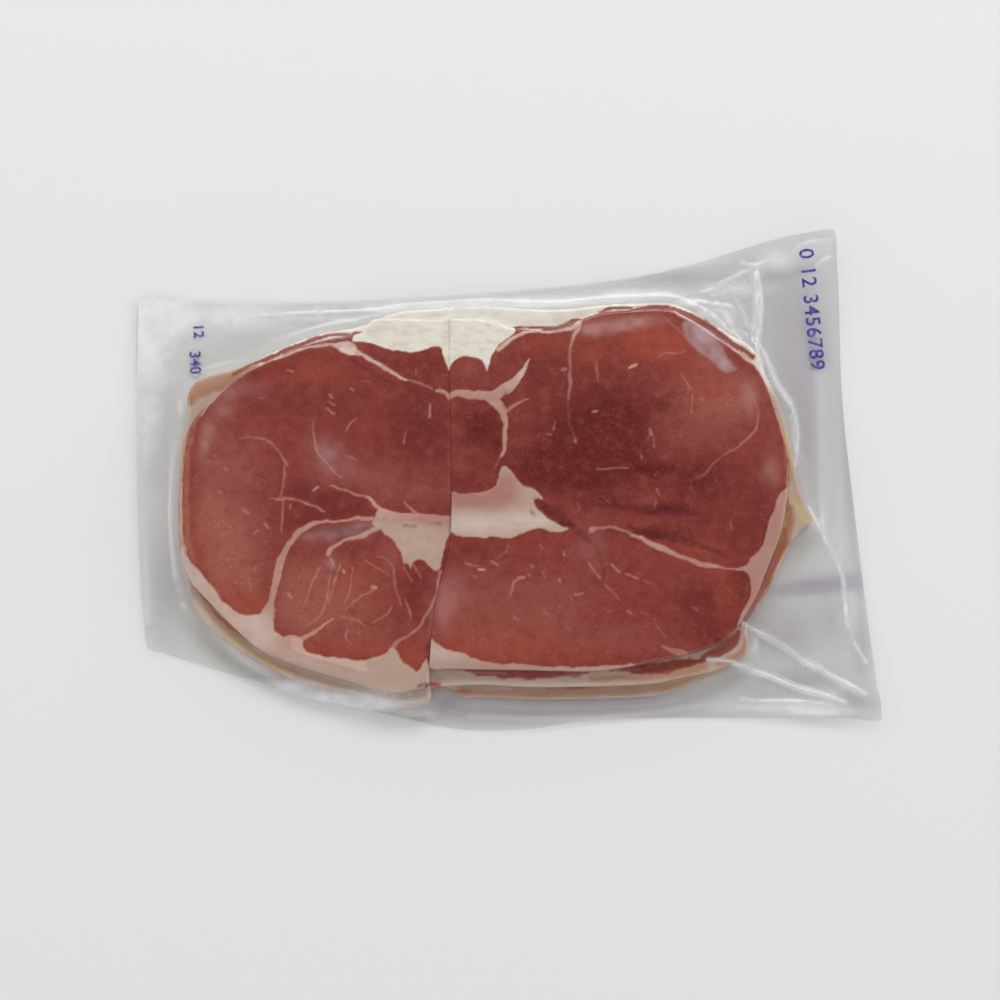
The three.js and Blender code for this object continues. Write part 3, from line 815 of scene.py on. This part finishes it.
# %% Dressing a top slice
FAT_PROUD = 0.1               # how much fat stands above the lean
FAR_LIT = 30, 42               # painted light: the far side's fat is made lighter over these y, in mm, where the key light falls
SEAM_STRENGTH = 1.2           # how much plainer seams are than their traced strength
SEAM_MOST = 0.78              # but some lean always shows through a seam
SPECK_STRENGTH = 1.15
BRINK = 1.3                   # the lean is darker this far round solid fat


def break_up(cover, at, seed):
    """Thins a faint cover unevenly, and leaves a solid one as it is."""
    return np.clip(cover * (1 - 0.8 * (1 - cover) * soft_noise(at, 2.0, seed)), 0, 1)


def draw_fat(piece, at, drawn, top, areas, lines, seed):
    """Keeps the covers of the fat, its brink, its flecks and the painted light on the far side's fat, and
    returns the fat's.
    """
    seams = np.minimum(SEAM_STRENGTH * cover_all(drawn, lines["fat"], top, line_cover), SEAM_MOST)
    fat = np.maximum(cover_all(drawn, areas, top, area_cover), seams)
    fat = break_up(fat, at, seed + 4)
    brink = cover_all(drawn, areas, top, area_cover, soft=BRINK)
    specks = break_up(cover_all(drawn, lines["speck"], top, line_cover), at, seed + 5)
    keep_value(piece, "fat", fat)
    keep_value(piece, "brink", np.clip(brink - fat, 0, 1) * 2)
    keep_value(piece, "fleck", np.minimum(SPECK_STRENGTH * specks, 1))
    # Painted light: the fat on the far side is made lighter, where the key light falls on it.
    keep_value(piece, "cream", ease(*FAR_LIT, at[:, 1]))
    return fat


def draw_tones(piece, at, drawn, top, lines, tones, seed):
    """Keeps the covers of the painted shade lines and the browned lines, broken up by blotches, and of the
    tones, among them the painted glare.
    """
    # The painted shade and the browned edge, broken up by blotches of 1.6 mm.
    for mark in ("shade_and_streaks", "rim"):
        cover = cover_all(drawn, lines[mark], top, line_cover, soft=0.8)
        keep_value(piece, mark, cover * (0.55 + 0.45 * ease(0.3, 0.6, soft_noise(at, 1.6, seed + 6))))
    for tone, groups in tones.items():
        cover = cover_all(drawn, groups, top, patch_cover)
        # The painted grey glare on the right slice also takes its traced area.
        if tone == "grey_glare" and "right" in piece.name:
            cover = np.maximum(cover, cover_all(drawn, GREY_GLARE_AREA, top, area_cover, soft=0.9))
        # The painted glare is made uneven in blotches of 3.5 mm.
        if tone in ("veil", "grey_glare"):
            cover *= 0.6 + 0.8 * soft_noise(at, 3.5, seed + 8)
        keep_value(piece, tone, cover)


def dress_top(name, top, areas, lines, tones, seed):
    """A top slice, with all that is drawn on it kept on its vertices."""
    piece, at, depth = cut_slice(name, TOP_GRID, top - UNDER_CAD, 1.0)
    # Its traced edges are bent by lumps of 4 mm and frayed by ones of 1.3 mm.
    drawn = wander(wander(at, 0.45, 4.0, seed), 0.22, 1.3, seed + 2)
    fat = draw_fat(piece, at, drawn, top, areas, lines, seed)
    draw_tones(piece, at, drawn, top, lines, tones, seed)
    spots_3d = places(piece)
    spots_3d[:, 2] += FAT_PROUD * fat * (spots_3d[:, 2] > top - 2 * SLICE_EDGE) * ease(0, 1, depth)
    move_to(piece, spots_3d)
    return piece


slices = {
    "slice_top_left": dress_top("slice_top_left", TOPS["left"], LEFT_AREAS, LEFT_LINES, LEFT_TONES, 11),
    "slice_top_right": dress_top("slice_top_right", TOPS["right"], RIGHT_AREAS, RIGHT_LINES, RIGHT_TONES, 41),
}

# %% [markdown]
# Of the lower slices only a ledge shows, where they stick out from under the top ones. The fat
# cap runs round them, so they are fat all over, with the lean, the orange-brown rind and the
# yellow aged fat of the ledge traced onto it. The hidden rest needs nothing.

# %% Fat, rind and lean on the ledges of the lower slices
LOWER = {
    "slice_middle_left": {
        "lean": [
            (0.8, "233,374,3 246,367,4 262,361,4 285,352,4 300,345,4 320,338,4 345,334,3 364,334,2"),
            (0.75, "186,566,2 190,580,3 202,597,3 218,614,3 236,631,2.4 250,640,1.6"),
        ],
        "rind": [
            (0.8, "189,402,10 194,388,22 208,383,26 222,379,24 240,373,14 256,369,6"),
            (0.45, "190,585,6 200,606,10 214,622,12 232,636,10 248,646,8"),
            (0.5, "246,652,8 262,660,10 280,669,10 300,677,10 322,684,10 345,690,6"),
            (0.35, "186,440,5 184,480,6 184,520,6 186,550,5"),
        ],
        "aged": [
            (0.5, "196,604,7 206,618,8 222,634,8 245,650,8 270,664,7 290,675,6"),
        ],
    },
    "slice_middle_right": {
        "lean": [
            (0.9, "590,324,2 578,321,2.4 560,326.5,3 545,328.5,3 525,327,2.4 510,330,3"),
            (0.9, "600,311,2.5 620,308.5,3 645,308,3.5 668,309,4 680,313,6 695,319.5,8 710,328,8 "
                  "722,336,6 738,347,5 752,358,4"),
            (0.9, "455,668,2 470,669.5,5 490,671.5,9 510,672.5,11 530,673,11 550,673,10 570,672.5,8 "
                  "590,671,3"),
            (0.95, "600,668.5,3 622,669,6 645,669,10 665,667,12 685,663,10 705,660,5"),
            (0.7, "786,528,3 782,542,7 776,556,9 768,572,10 762,586,10 754,602,9 746,616,7 741,626,4"),
            (0.8, "421,686,4 430,686,5 439,686,4"), (0.85, "704,656,8 718,651,11 731,644,11 740,633,6"),
        ],
        "rind": [
            (0.95, "787,502,7 788,515,10 787,530,11 783,544,11 777,556,9"),
            (0.7, "772,572,5 768,588,5 762,602,5"),
            (0.6, "590,680,5 620,679,6 650,677,7 680,673,7 705,667,7"),
            (0.8, "716,664,5 730,660,6 742,652,5 747,640,4"),
        ],
        "aged": [
            (0.9, "786,478,3 789,492,4 795,505,6 803,517,6 811,526,4"),
            (0.7, "757,352,3 766,366,4 776,388,4 783,410,5 788,440,5 792,470,5"),
        ],
    },
    "slice_bottom_left": {
        "lean": [],
        "rind": [
            (0.45, "190,585,8 214,625,12 248,650,10 300,682,10 345,694,8"),
        ],
        "aged": [],
    },
    "slice_bottom_right": {
        "lean": [
            (0.7, "548,687.5,3 560,687,4 575,686.5,5 590,686,4"), (0.4, "440,686,3 455,689,4 470,690,4"),
        ],
        "rind": [
            (0.5, "440,692,10 500,694,10 560,694,10 620,690,10 680,684,10 720,672,10 745,655,6"),
        ],
        "aged": [
            (0.5, "600,684,5 640,682,6 680,679,6"),
        ],
    },
}


def dress_lower(name):
    """A lower slice, with its ledge drawn on it."""
    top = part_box(name)[1].z / MM
    piece, at, _ = cut_slice(name, LEDGE_GRID, top, 0.0)
    drawn = LOWER[name]
    uneven = wander(wander(at, 0.7, 5.0, 71), 0.35, 1.8, 73)
    keep_value(piece, "fat", 1 - cover_all(uneven, drawn["lean"], top, line_cover))
    for tone in ("rind", "aged"):
        cover = cover_all(uneven, drawn[tone], top, line_cover, soft=1.2)
        keep_value(piece, tone, cover * (0.8 + 0.2 * ease(0.1, 0.9, soft_noise(at, 5.0, 75))))
    # Painted light: the fat on the far side is made lighter, where the key light falls on it.
    keep_value(piece, "cream", ease(*FAR_LIT, at[:, 1]))
    return piece


for name in LOWER:
    slices[name] = dress_lower(name)

# %% [markdown]
# The tops are shaded smooth, so that the small squares don't show, and the rims keep their
# corners. Each dressed slice then takes the place of its CAD slice.

# %% Smooth, ride and stand for the CAD slices
for cad_name, piece in slices.items():
    only(piece)
    bpy.ops.object.shade_smooth_by_angle(angle=math.radians(50))
    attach(piece, "root")
    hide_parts(cad_name)
    print(piece.name, len(piece.data.vertices), "vertices,", len(piece.data.polygons), "faces")

# %% [markdown]
# ## The meat
#
# Dry-cured ham is lean muscle that salt and months of drying have turned deep red. It is built up
# as a painter would do it: the lean with its tones first, then the fat with its own and the painted
# light on its far side, then the one over the other, and last the browned places, the painted shade
# and the painted glare of the film. The cut lean shows bundles of fibres about a millimetre across,
# in blotches of about 5 mm, with thread-like marbling of fat. Real marbling is finer than the
# picture can show, so its threads are drawn as coarse as they need.

# %% Patterns and covers of the meat
# Dry-cured ham, sliced: moist, so softly glossy, and deep red with cream and pink fat.
ham, tree = new_material("dry-cured ham")
on_object = node(tree, "TexCoord").outputs["Object"]
covers = {}
for name in ("deep", "pale", "warm", "fleck", "brink", "fat", "blush", "milk", "cream", "shade_and_streaks", "rim",
             "rind", "aged", "veil", "grey_glare"):
    covers[name] = node(tree, "Attribute", {"attribute_name": name}).outputs["Fac"]

for name, size, detail, rough, shift, stretch in (
        ("bundles", 5.0, 4.0, 0.6, 0.0, 1),       # bundles of muscle, 5 mm across
        ("grain", 1.2, 3.0, 0.7, 0.3, 1),         # fibres, a little over a millimetre
        ("marbling", 4.0, 2.5, 0.6, 0.9, 1),      # meshes of the marbling, 4 mm wide
        ("marbled", 9.0, 2.0, 0.5, 0.5, 1),       # a marbled place, 9 mm across
        ("streaks", 3.0, 3.0, 0.6, 0.7, 0.5)):    # streaks in the fat, 3 mm by 6 mm
    moved = node(tree, "Mapping", Vector=on_object, Location=(shift, shift / 2, 0), Scale=(stretch, 1, 1))
    noise = node(tree, "TexNoise", Vector=moved.outputs[0], Scale=1 / (size * MM), Detail=detail,
                 Roughness=rough)
    covers[name] = noise.outputs["Fac"]

for name, source, low, high, least, most in (
        ("lit", "bundles", 0.5, 0.75, 0.0, 0.4), ("shaded", "bundles", 0.5, 0.25, 0.0, 0.4),
        ("grained", "grain", 0.56, 0.8, 0.0, 0.3), ("thready", "marbled", 0.45, 0.65, 0.0, 0.5),
        ("thready_here", "pale", 0.0, 0.9, 0.3, 1.0), ("streaked", "streaks", 0.45, 0.75, 0.0, 0.4),
        ("solid_fat", "fat", 0.5, 0.9, 0.0, 1.0)):
    ranged = node(tree, "MapRange", _0=covers[source], _1=low, _2=high, _3=least, _4=most)
    covers[name] = ranged.outputs[0]

# A thread runs wherever the marbling's noise is within 0.009 of its middle.
threads = node(tree, "Math", {"operation": "COMPARE"}, _0=covers["marbling"], _1=0.5, _2=0.009).outputs[0]
for name, first, second in (("thread_place", covers["thready"], covers["thready_here"]),
                            ("brink_dark", covers["brink"], 0.35)):
    covers[name] = node(tree, "Math", {"operation": "MULTIPLY"}, _0=first, _1=second).outputs[0]
covers["threads"] = node(tree, "Math", {"operation": "MULTIPLY"}, _0=threads,
                         _1=covers["thread_place"]).outputs[0]

# %% Material of the meat
LEAN = "#8D3930"
LEAN_COATS = (
    ("deep", "#600E0C"), ("pale", "#A65F53"), ("warm", "#A84A37"), ("lit", "#A1564B"),
    ("shaded", "#661B17"), ("grained", "#B87468"), ("threads", "#C68F84"), ("fleck", "#D6A398"),
    ("brink_dark", "#5A1A12"))
FAT = "#C2AD9D"
# The far-side coat is painted light; the others are the fat's own tones.
FAT_COATS = (("blush", "#B27F73"), ("milk", "#DDC8BC"), ("cream", "#F3EEE2"), ("streaked", "#C49C8C"))
THIN_FAT = "#D69E90"          # the lean shows through a thin seam and makes it pink
LAST_COATS = (
    # The first coat is painted shade in the gaps and beside the raised slice edge, with darker streaks.
    ("shade_and_streaks", "#521316"), ("rim", "#B0755C"), ("rind", "#A8673B"), ("aged", "#D2BE88"),
    # Painted reflections: the film's lilac and grey glare on the meat.
    ("veil", "#D8AAA8"), ("grey_glare", "#D2C4CC"))

lean = lay_on(tree, LEAN, [(covers[name], coat) for name, coat in LEAN_COATS])
fat = lay_on(tree, FAT, [(covers[name], coat) for name, coat in FAT_COATS])
fat = lay_on(tree, THIN_FAT, [(covers["solid_fat"], fat)])
meat = lay_on(tree, lean, [(covers["fat"], fat), *((covers[name], coat) for name, coat in LAST_COATS)])
fibres = node(tree, "Bump", Height=covers["grain"], Distance=0.1 * MM, Strength=0.5)
shader = node(tree, "BsdfPrincipled", Base_Color=meat, Roughness=0.5, Specular_IOR_Level=0.15,
              Normal=fibres.outputs[0])
node(tree, "OutputMaterial", Surface=shader.outputs[0])
for piece in slices.values():
    piece.data.materials.clear()
    piece.data.materials.append(ham)
print("meat:", len(tree.nodes), "nodes")

# %% [markdown]
# ## The film
#
# A vacuum pouch is two clear sheets, welded at the rim, that the air presses onto the meat and
# onto each other. Its shape follows from what lies under it, so it is worked out: at each place
# the upper sheet is as high as the highest slice there, falls steeply outside a slice's edge, and
# runs out flat into the skirt. Creases that the pull of the vacuum makes are traced as ridges. A
# cloth simulation would crease somewhere else than the picture does, so it isn't used.

# %% Fine crumpling
def crumple(at, size, seed):
    """A net of sharp little ridges, as in film that was squeezed: 1 on a ridge, 0 between."""
    return (1 - np.abs(2 * soft_noise(at, size, seed) - 1)) ** 4


CRUMPLED = [
    (0.8, "733,318,22,26 716,300,20,12"), (0.6, "788,440,12,50 800,480,12,30"),
    (0.45, "750,650,30,24 700,690,60,10"), (0.35, "176,350,18,26 205,625,30,30 168,600,22,40"),
    (0.25, "820,460,22,90 830,620,40,50 300,312,120,10"), (0.3, "790,270,36,30"),
]

# %% [markdown]
# Each crease is a tent: a ridge line with slopes that run out smoothly. The slices' own outlines
# shape the rest, and the skirt's lift off the table is the one that the CAD model has.

# %% Creases
SKIRT_LEVEL = 3.0             # the creases and prints on the skirt are about this high
RIDGES = [
    (1.6, "741,626,6 752,629,7 765,635,8 776,641,8 790,650,8 801,659,8 815,667,7 828,674,6 840,681,5 "
          "852,687,5 866,694,3"),
    (1.3, "706,661,4 725,663,6 742,666,7 756,671,8 770,676,8 788,684,7 805,690,6 825,696,5 845,702,3"),
    (1.0, "808,508,4 814,518,6 824,538,7 834,557,6 842,574,6 845,600,5 848,626,5 856,645,4 866,662,3"),
    (1.2, "756,268,4 758,286,6 760,305,7 758,330,7 757,350,6 762,366,5"),
    (0.9, "758,340,4 766,358,5 774,378,6 783,396,6 793,410,6 797,428,5 797,450,5 794,470,4"),
    (0.9, "716,300,3 722,308,5 729,322,6 736,334,5 742,342,3"),
    (0.6, "728,284,3 736,298,4 742,312,4 747,326,3"), (0.6, "700,292,3 712,290,4 726,284,4 740,274,3"),
    (0.8, "795,250,4 806,247,6 818,245,5 826,243,3"), (0.7, "815,268,3 822,264,4 829,260,3"),
    (0.8, "741,263,4 756,267,6 770,260,4"), (0.7, "712,287,3 732,278,5 752,269,4"),
    (0.7, "698,300,3 712,305,5 724,316,5 732,330,3"), (0.6, "738,300,3 745,316,4 752,332,3"),
    (0.5, "770,300,3 772,330,4 776,360,4 784,385,3"),
    (0.3, "160,320,4 162,380,5 161,460,5 163,540,5 166,610,4"),
    (0.5, "188,600,3 200,622,5 214,640,5 226,656,3"), (0.5, "818,380,3 819,440,4 820,500,4 824,550,3"),
    (0.6, "740,698,3 760,702,5 790,702,5 820,705,4 850,712,3"),
    (0.4, "775,594,3 800,590,5 830,586,5 862,582,3"), (0.5, "250,316,3 300,313,4 360,311,4 420,309,3"),
]
print(len(RIDGES), "creases")

# %% Height of the film
FILM = 0.12                   # how far the film's outside is above the meat
SHEETS = 0.5                  # thickness of the two sheets of the skirt together
WALL = 4.5                    # millimetres that the film falls for each millimetre outside a slice
FOOT, FOOT_WIDTH = 5.5, 3.4   # the film's slack where it comes down to the table
TENT = 1.4                    # a crease's slopes run out over this many times its traced width
WIDEST_SKIRT = 40.0           # no place on the skirt is further from the slices than this
SKIRT_START = 5               # the skirt's lift starts this far outside the slices
FILLET = 0.3                  # the film's inner corners are rounded over this height


LIFT_FAR_RIGHT = 7.5          # how far two corners and the left end of the skirt are off the table
LIFT_NEAR_RIGHT = 3.5
LIFT_LEFT = 2


def skirt_lift(at, share):
    """How far the skirt's underside is off the table, as in the CAD model."""
    x, y = at.T
    far_right = ease(70, 140, x) * ease(40, 100, y)
    near_right = ease(90, 150, x) * ease(50, 100, -y)
    left = ease(130, 153, -x)
    wave = 0.6 + 0.4 * np.sin(x / 14) * np.cos(y / 17)
    return share * (LIFT_FAR_RIGHT * far_right + LIFT_NEAR_RIGHT * near_right + LIFT_LEFT * left + wave)


def soft_max(first, second, width):
    """The larger of two heights, with the corner between them rounded."""
    blend_share = np.clip(0.5 + 0.5 * (first - second) / width, 0, 1)
    return second + (first - second) * blend_share + width * blend_share * (1 - blend_share)


def skirt_share(at):
    """0 beside the slices and 1 at the pouch's rim; and each spot's distance from the slices."""
    outside = np.full(len(at), WIDEST_SKIRT)
    for name in ("slice_bottom_left", "slice_bottom_right"):
        outside = np.minimum(outside, -depth_in_loop(at, outlines[name][::4], reach=WIDEST_SKIRT))
    to_rim = np.maximum(depth_in_loop(at, pouch_edge, reach=WIDEST_SKIRT), 0)
    from_foot = np.maximum(outside - SKIRT_START, 0)
    return from_foot / (from_foot + to_rim + 0.01), outside


def film_over_slice(at, name):
    """Height of the film where it is stretched over one slice, and falls off beside it."""
    depth = depth_in_loop(at, outlines[name][::3], reach=8.0)
    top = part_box(name)[1].z / MM
    if "top" in name:
        top = TOPS[name.split("_")[2]] - UNDER_CAD + meat_relief(*at.T) * ease(0, 6, depth)
        # Between the two top slices the film doesn't dip.
        depth = depth + 1.2 * ease(-2.5, -0.5, depth_in_loop(at, neighbour(name)[::3], reach=4.0))
    edge = np.clip(SLICE_EDGE - depth, 0, SLICE_EDGE)
    drop = SLICE_EDGE - np.sqrt(np.maximum(SLICE_EDGE ** 2 - (edge * 0.8) ** 2, 0))
    return top + FILM - drop - WALL * np.maximum(-depth, 0)


def film_top(at):
    """Height of the film's outside at each spot."""
    share, outside = skirt_share(at)
    height = skirt_lift(at, share) + SHEETS + FOOT * np.exp(-np.maximum(outside, 0) / FOOT_WIDTH)
    for name in SLICE_NAMES:
        height = soft_max(film_over_slice(at, name), height, FILLET)
    for lift, text in RIDGES:
        line, widths = trace(text, SKIRT_LEVEL)
        fine = smooth(np.column_stack([line, widths]), 1.5, closed=False)
        tent = depth_in_line(at, fine[:, :2], fine[:, 2] * TENT) / (widths.max() * TENT / 2)
        height += lift * ease(0, 1, tent) * ease(-1, 3, outside)
    wrinkled = cover_all(at, CRUMPLED, SKIRT_LEVEL, patch_cover) * ease(-1, 2, outside)
    return height + wrinkled * (crumple(at, 7, 5) + 0.5 * crumple(at, 3.5, 6))


# %% [markdown]
# The pouch is a slab too, cut out with the pouch's own outline. Its fine top takes the film's
# height, and its coarse underside takes the skirt's lift.

# %% The pouch
FILM_GRID = 0.88              # spacing of the film's squares, fine enough for a crease
BLOCK = 20                    # height of the block that the film is shaped from
corner = pouch_edge.min(0) - 1
far_corner = pouch_edge.max(0) + 1
pouch = slab("film_pouch", corner, far_corner, 0, BLOCK, FILM_GRID)
cut_out(pouch, pouch_edge, -2, BLOCK + 2)
spots_3d = places(pouch)
upper = spots_3d[:, 2] > BLOCK / 2
spots_3d[upper, 2] = film_top(spots_3d[upper, :2])
share, _ = skirt_share(spots_3d[~upper, :2])
spots_3d[~upper, 2] = skirt_lift(spots_3d[~upper, :2], share)
move_to(pouch, spots_3d)
only(pouch)
bpy.ops.object.shade_smooth_by_angle(angle=math.radians(60))
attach(pouch, "root")
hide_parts("bag")
print("pouch", len(pouch.data.vertices), "vertices,", len(pouch.data.polygons), "faces")

# %% [markdown]
# Clear film isn't equally clear everywhere. Its grey places are painted shade: its shadows and its
# dark reflections, tinted into it. Slack or scuffed film scatters light and looks milky, and the same
# matt white paints highlights on the crests of sharp creases and along the film's slopes. The grey
# and milky places are traced, as the meat is, and the crests follow from the creases.

# %% Where the film is painted shaded and where it is milky or painted bright
# Painted shade on the film: its shadows and its dark reflections.
SHADE_PATCHES = [
    (0.4, "163,585,20,55"), (0.2, "158,480,18,60"), (0.6, "790,325,36,80 805,430,16,70"),
    (0.45, "830,620,30,30"), (0.6, "790,635,34,26 760,690,30,14"), (0.9, "800,676,34,10"),
    (0.9, "856,705,26,10"), (0.7, "862,640,10,40"), (0.6, "690,276,50,7 760,256,44,10 812,242,26,12"),
    (0.8, "500,712,90,12 640,708,90,12"),
]
SHADE_LINES = [
    (1.0, "768,592,8 800,588,14 830,584,16 866,580,18"),
    (0.5, "834,250,12 841,330,12 846,420,12 853,520,12 862,600,10"),
]
# Milky film, with painted highlights where its slopes catch the light.
MILK_AND_GLINT_PATCHES = [
    (1.0, "210,316,110,22 152,345,24,60"), (0.7, "150,420,16,50"), (0.3, "152,500,16,50"),
    (0.8, "300,316,90,9 440,306,120,8 560,300,90,7 640,293,50,6"),
    (0.7, "730,290,30,8 727,322,10,10 690,302,18,5 716,312,16,8 776,262,16,8"),
    (0.4, "838,545,14,24 852,612,10,34"), (0.6, "770,707,56,6 820,712,30,4"),
    (0.9, "330,699,60,7 280,688,40,8 375,706,40,6"),
]
# Milky streaks, with painted highlights along ridges and the film's far and near slopes.
MILK_AND_GLINT_LINES = [
    (0.3, "820,370,10 822,440,12 824,500,12 828,560,8"), (0.6, "755,270,8 757,300,9 756,340,8"),
    (0.6, "764,352,5 776,382,6 792,408,6 796,450,5"), (0.3, "142,310,8 143,400,8 144,500,8 148,620,8"),
    (0.3, "345,318,16 400,312,20 460,310,22 520,311,20 575,312,12"),
    (0.3, "186,560,7 205,615,8 240,655,8 290,684,9 345,700,10 400,710,10 432,714,8"),
    (0.3, "470,716,3 540,719,4 620,716,4 700,706,4 770,700,4"),
]
SHADE_MILK_GLINT_LEVEL = 2.0             # the painted shade, the milky places and the painted highlights lie about this high
SOFT = 1.5                    # and their edges are this soft

# %% Painted highlights on the crests of the creases
SHARP = 0.55                  # a crease higher than this gets a painted highlight on its crest
CREST_WIDTH = 1.5             # this far from its crest
CREST_GLINT = 0.75             # and this much of it is painted white
at = places(pouch)[:, :2]
milk_and_glint = np.maximum(cover_all(at, MILK_AND_GLINT_PATCHES, SHADE_MILK_GLINT_LEVEL, patch_cover),
                   cover_all(at, MILK_AND_GLINT_LINES, SHADE_MILK_GLINT_LEVEL, line_cover, soft=SOFT))
# The milk and the painted highlights are uneven, in blotches of 9 mm with smaller ones of 3.5 mm, and the
# crests' painted highlight is broken in places.
patchy = soft_noise(wander(at, 4.0, 7.0, 84), 9.0, 81) + 0.5 * soft_noise(wander(at, 2.0, 3.0, 86), 3.5, 82)
milk_and_glint *= 0.7 + 0.3 * ease(0.2, 1.2, patchy)
uneven_glint = 0.5 + 0.5 * ease(0.1, 0.6, soft_noise(at, 5.0, 83))
# Painted highlights along the crests of the high creases.
for lift, text in RIDGES:
    if lift > SHARP:
        fine = smooth(trace(text, SKIRT_LEVEL)[0], 1.5, closed=False)
        crest = ease(-CREST_WIDTH, CREST_WIDTH * 0.2, depth_in_line(at, fine, np.zeros(len(fine))))
        milk_and_glint = np.maximum(milk_and_glint, CREST_GLINT * min(lift, 1.1) * crest * uneven_glint)
keep_value(pouch, "milk_and_glint", np.clip(milk_and_glint, 0, 1))
keep_value(pouch, "shade", np.maximum(cover_all(at, SHADE_PATCHES, SHADE_MILK_GLINT_LEVEL, patch_cover),
                                      cover_all(at, SHADE_LINES, SHADE_MILK_GLINT_LEVEL, line_cover, soft=SOFT)))
print("milky on average:", round(float(np.clip(milk_and_glint, 0, 1).mean()), 3))

# %% [markdown]
# Packing film for meat is blown polyethylene with a layer of nylon. It lets nearly all light
# through, and its skin mirrors little from straight on and a lot at a glancing angle. A refracting
# glass shader would bend the view of the meat, which so thin a film doesn't, so the film is a
# plain transparent shader under a glossy one, tinted grey where shade is painted, with a matt white
# one where it is milky or a highlight is painted.

# %% Material of the film
# Blown film: clear, softly glossy from its fine unevenness, with a trace of painted grey shade, and matt
# white where it is milky or a highlight is painted.
film, tree = new_material("polyethylene and nylon packing film")
shaded = node(tree, "Attribute", {"attribute_name": "shade"}).outputs["Fac"]
milk_and_glint_cover = node(tree, "Attribute", {"attribute_name": "milk_and_glint"}).outputs["Fac"]
# Painted shade: the film is tinted grey where its shade patches and lines lie.
tint = lay_on(tree, "#F9F9F8", [(shaded, "#EDEBEE")])
through = node(tree, "BsdfTransparent", Color=tint)
gloss = node(tree, "BsdfGlossy", Color="#FFFFFF", Roughness=0.18)
facing = node(tree, "LayerWeight", Blend=0.5).outputs["Facing"]
steep = node(tree, "Math", {"operation": "POWER"}, _0=facing, _1=4.0).outputs[0]
mirror = node(tree, "Math", {"operation": "MULTIPLY_ADD", "use_clamp": True}, _0=steep, _1=0.4, _2=0.035)
# Matt white, for milky film and for the painted highlights.
milk = node(tree, "BsdfDiffuse", Color="#F2F2F4")
milk_and_glint_share = node(tree, "Math", {"operation": "MULTIPLY"}, _0=milk_and_glint_cover, _1=0.85)
body = node(tree, "MixShader", _0=milk_and_glint_share.outputs[0], _1=through.outputs[0], _2=milk.outputs[0])
skin = node(tree, "MixShader", _0=mirror.outputs[0], _1=body.outputs[0], _2=gloss.outputs[0])
node(tree, "OutputMaterial", Surface=skin.outputs[0])
pouch.data.materials.clear()
pouch.data.materials.append(film)
print("film:", len(tree.nodes), "nodes")

# %% [markdown]
# ## The stamped digits
#
# The packer stamps a row of figures down each end of the pouch. Here they are plain digits. Each
# row is a text object made a mesh, turned to read down the pouch, and laid on the film: every
# point takes the film's height at its own place, so the print follows the folds.

# %% Digits
INK = 0.15                    # the print lies this far above the film
FIGURE = 1.4                  # the font's size is this many times the height of its figures
WEIGHT = 0.12                 # each stroke is fattened by this much on each side, in mm
SPREAD = 1.08                 # spacing of the figures, as a share of the font's own


def stamp(name, words, pixel, size, turn):
    """Digits that start at a pixel, `size` mm tall, turned by `turn` degrees about the vertical."""
    bpy.ops.object.select_all(action="DESELECT")
    bpy.ops.object.text_add()
    row = bpy.context.object
    row.name = name
    row.data.body = words
    row.data.size = size * MM * FIGURE
    row.data.space_character = SPREAD
    row.data.offset = WEIGHT * MM
    bpy.ops.object.convert(target="MESH")
    bpy.ops.object.mode_set(mode="EDIT")
    bpy.ops.mesh.select_all(action="SELECT")
    bpy.ops.mesh.quads_convert_to_tris()
    bpy.ops.mesh.subdivide(number_cuts=3)
    bpy.ops.object.mode_set(mode="OBJECT")
    angle = math.radians(turn)
    turned = places(row)[:, :2] @ np.array([[math.cos(angle), math.sin(angle)],
                                            [-math.sin(angle), math.cos(angle)]])
    at = turned + spots([pixel], SKIRT_LEVEL)[0]
    move_to(row, np.column_stack([at, film_top(at) + INK]))
    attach(row, "root")
    return row


# %% [markdown]
# Stamping ink dries as a thin matt coat on the film, so it needs no gloss and no depth. It is
# paler in dabs about 1.5 mm across, where the stamp pressed less.

# %% Material of the digits
# Stamping ink: matt violet, with paler dabs.
ink, tree = new_material("stamped violet ink")
where = node(tree, "Mapping", Vector=node(tree, "TexCoord").outputs["Object"])
dabs = node(tree, "TexNoise", Vector=where.outputs[0], Scale=1 / (1.5 * MM), Detail=2.0, Roughness=0.6)
thin = node(tree, "MapRange", _0=dabs.outputs["Fac"], _1=0.4, _2=0.65)
tone = lay_on(tree, "#2E2480", [(thin.outputs[0], "#6A5EAC")])
ink_shader = node(tree, "BsdfPrincipled", Base_Color=tone, Roughness=0.6)
node(tree, "OutputMaterial", Surface=ink_shader.outputs[0])
for row in (stamp("stamp_right", "0 12 3456789", (798, 252), 6.1, -85),
            stamp("stamp_left_upper", "12", (193, 323), 4.2, -86),
            stamp("stamp_left_lower", "340", (189, 350), 4.6, -86)):
    row.data.materials.append(ink)
    print(row.name, len(row.data.polygons), "faces")
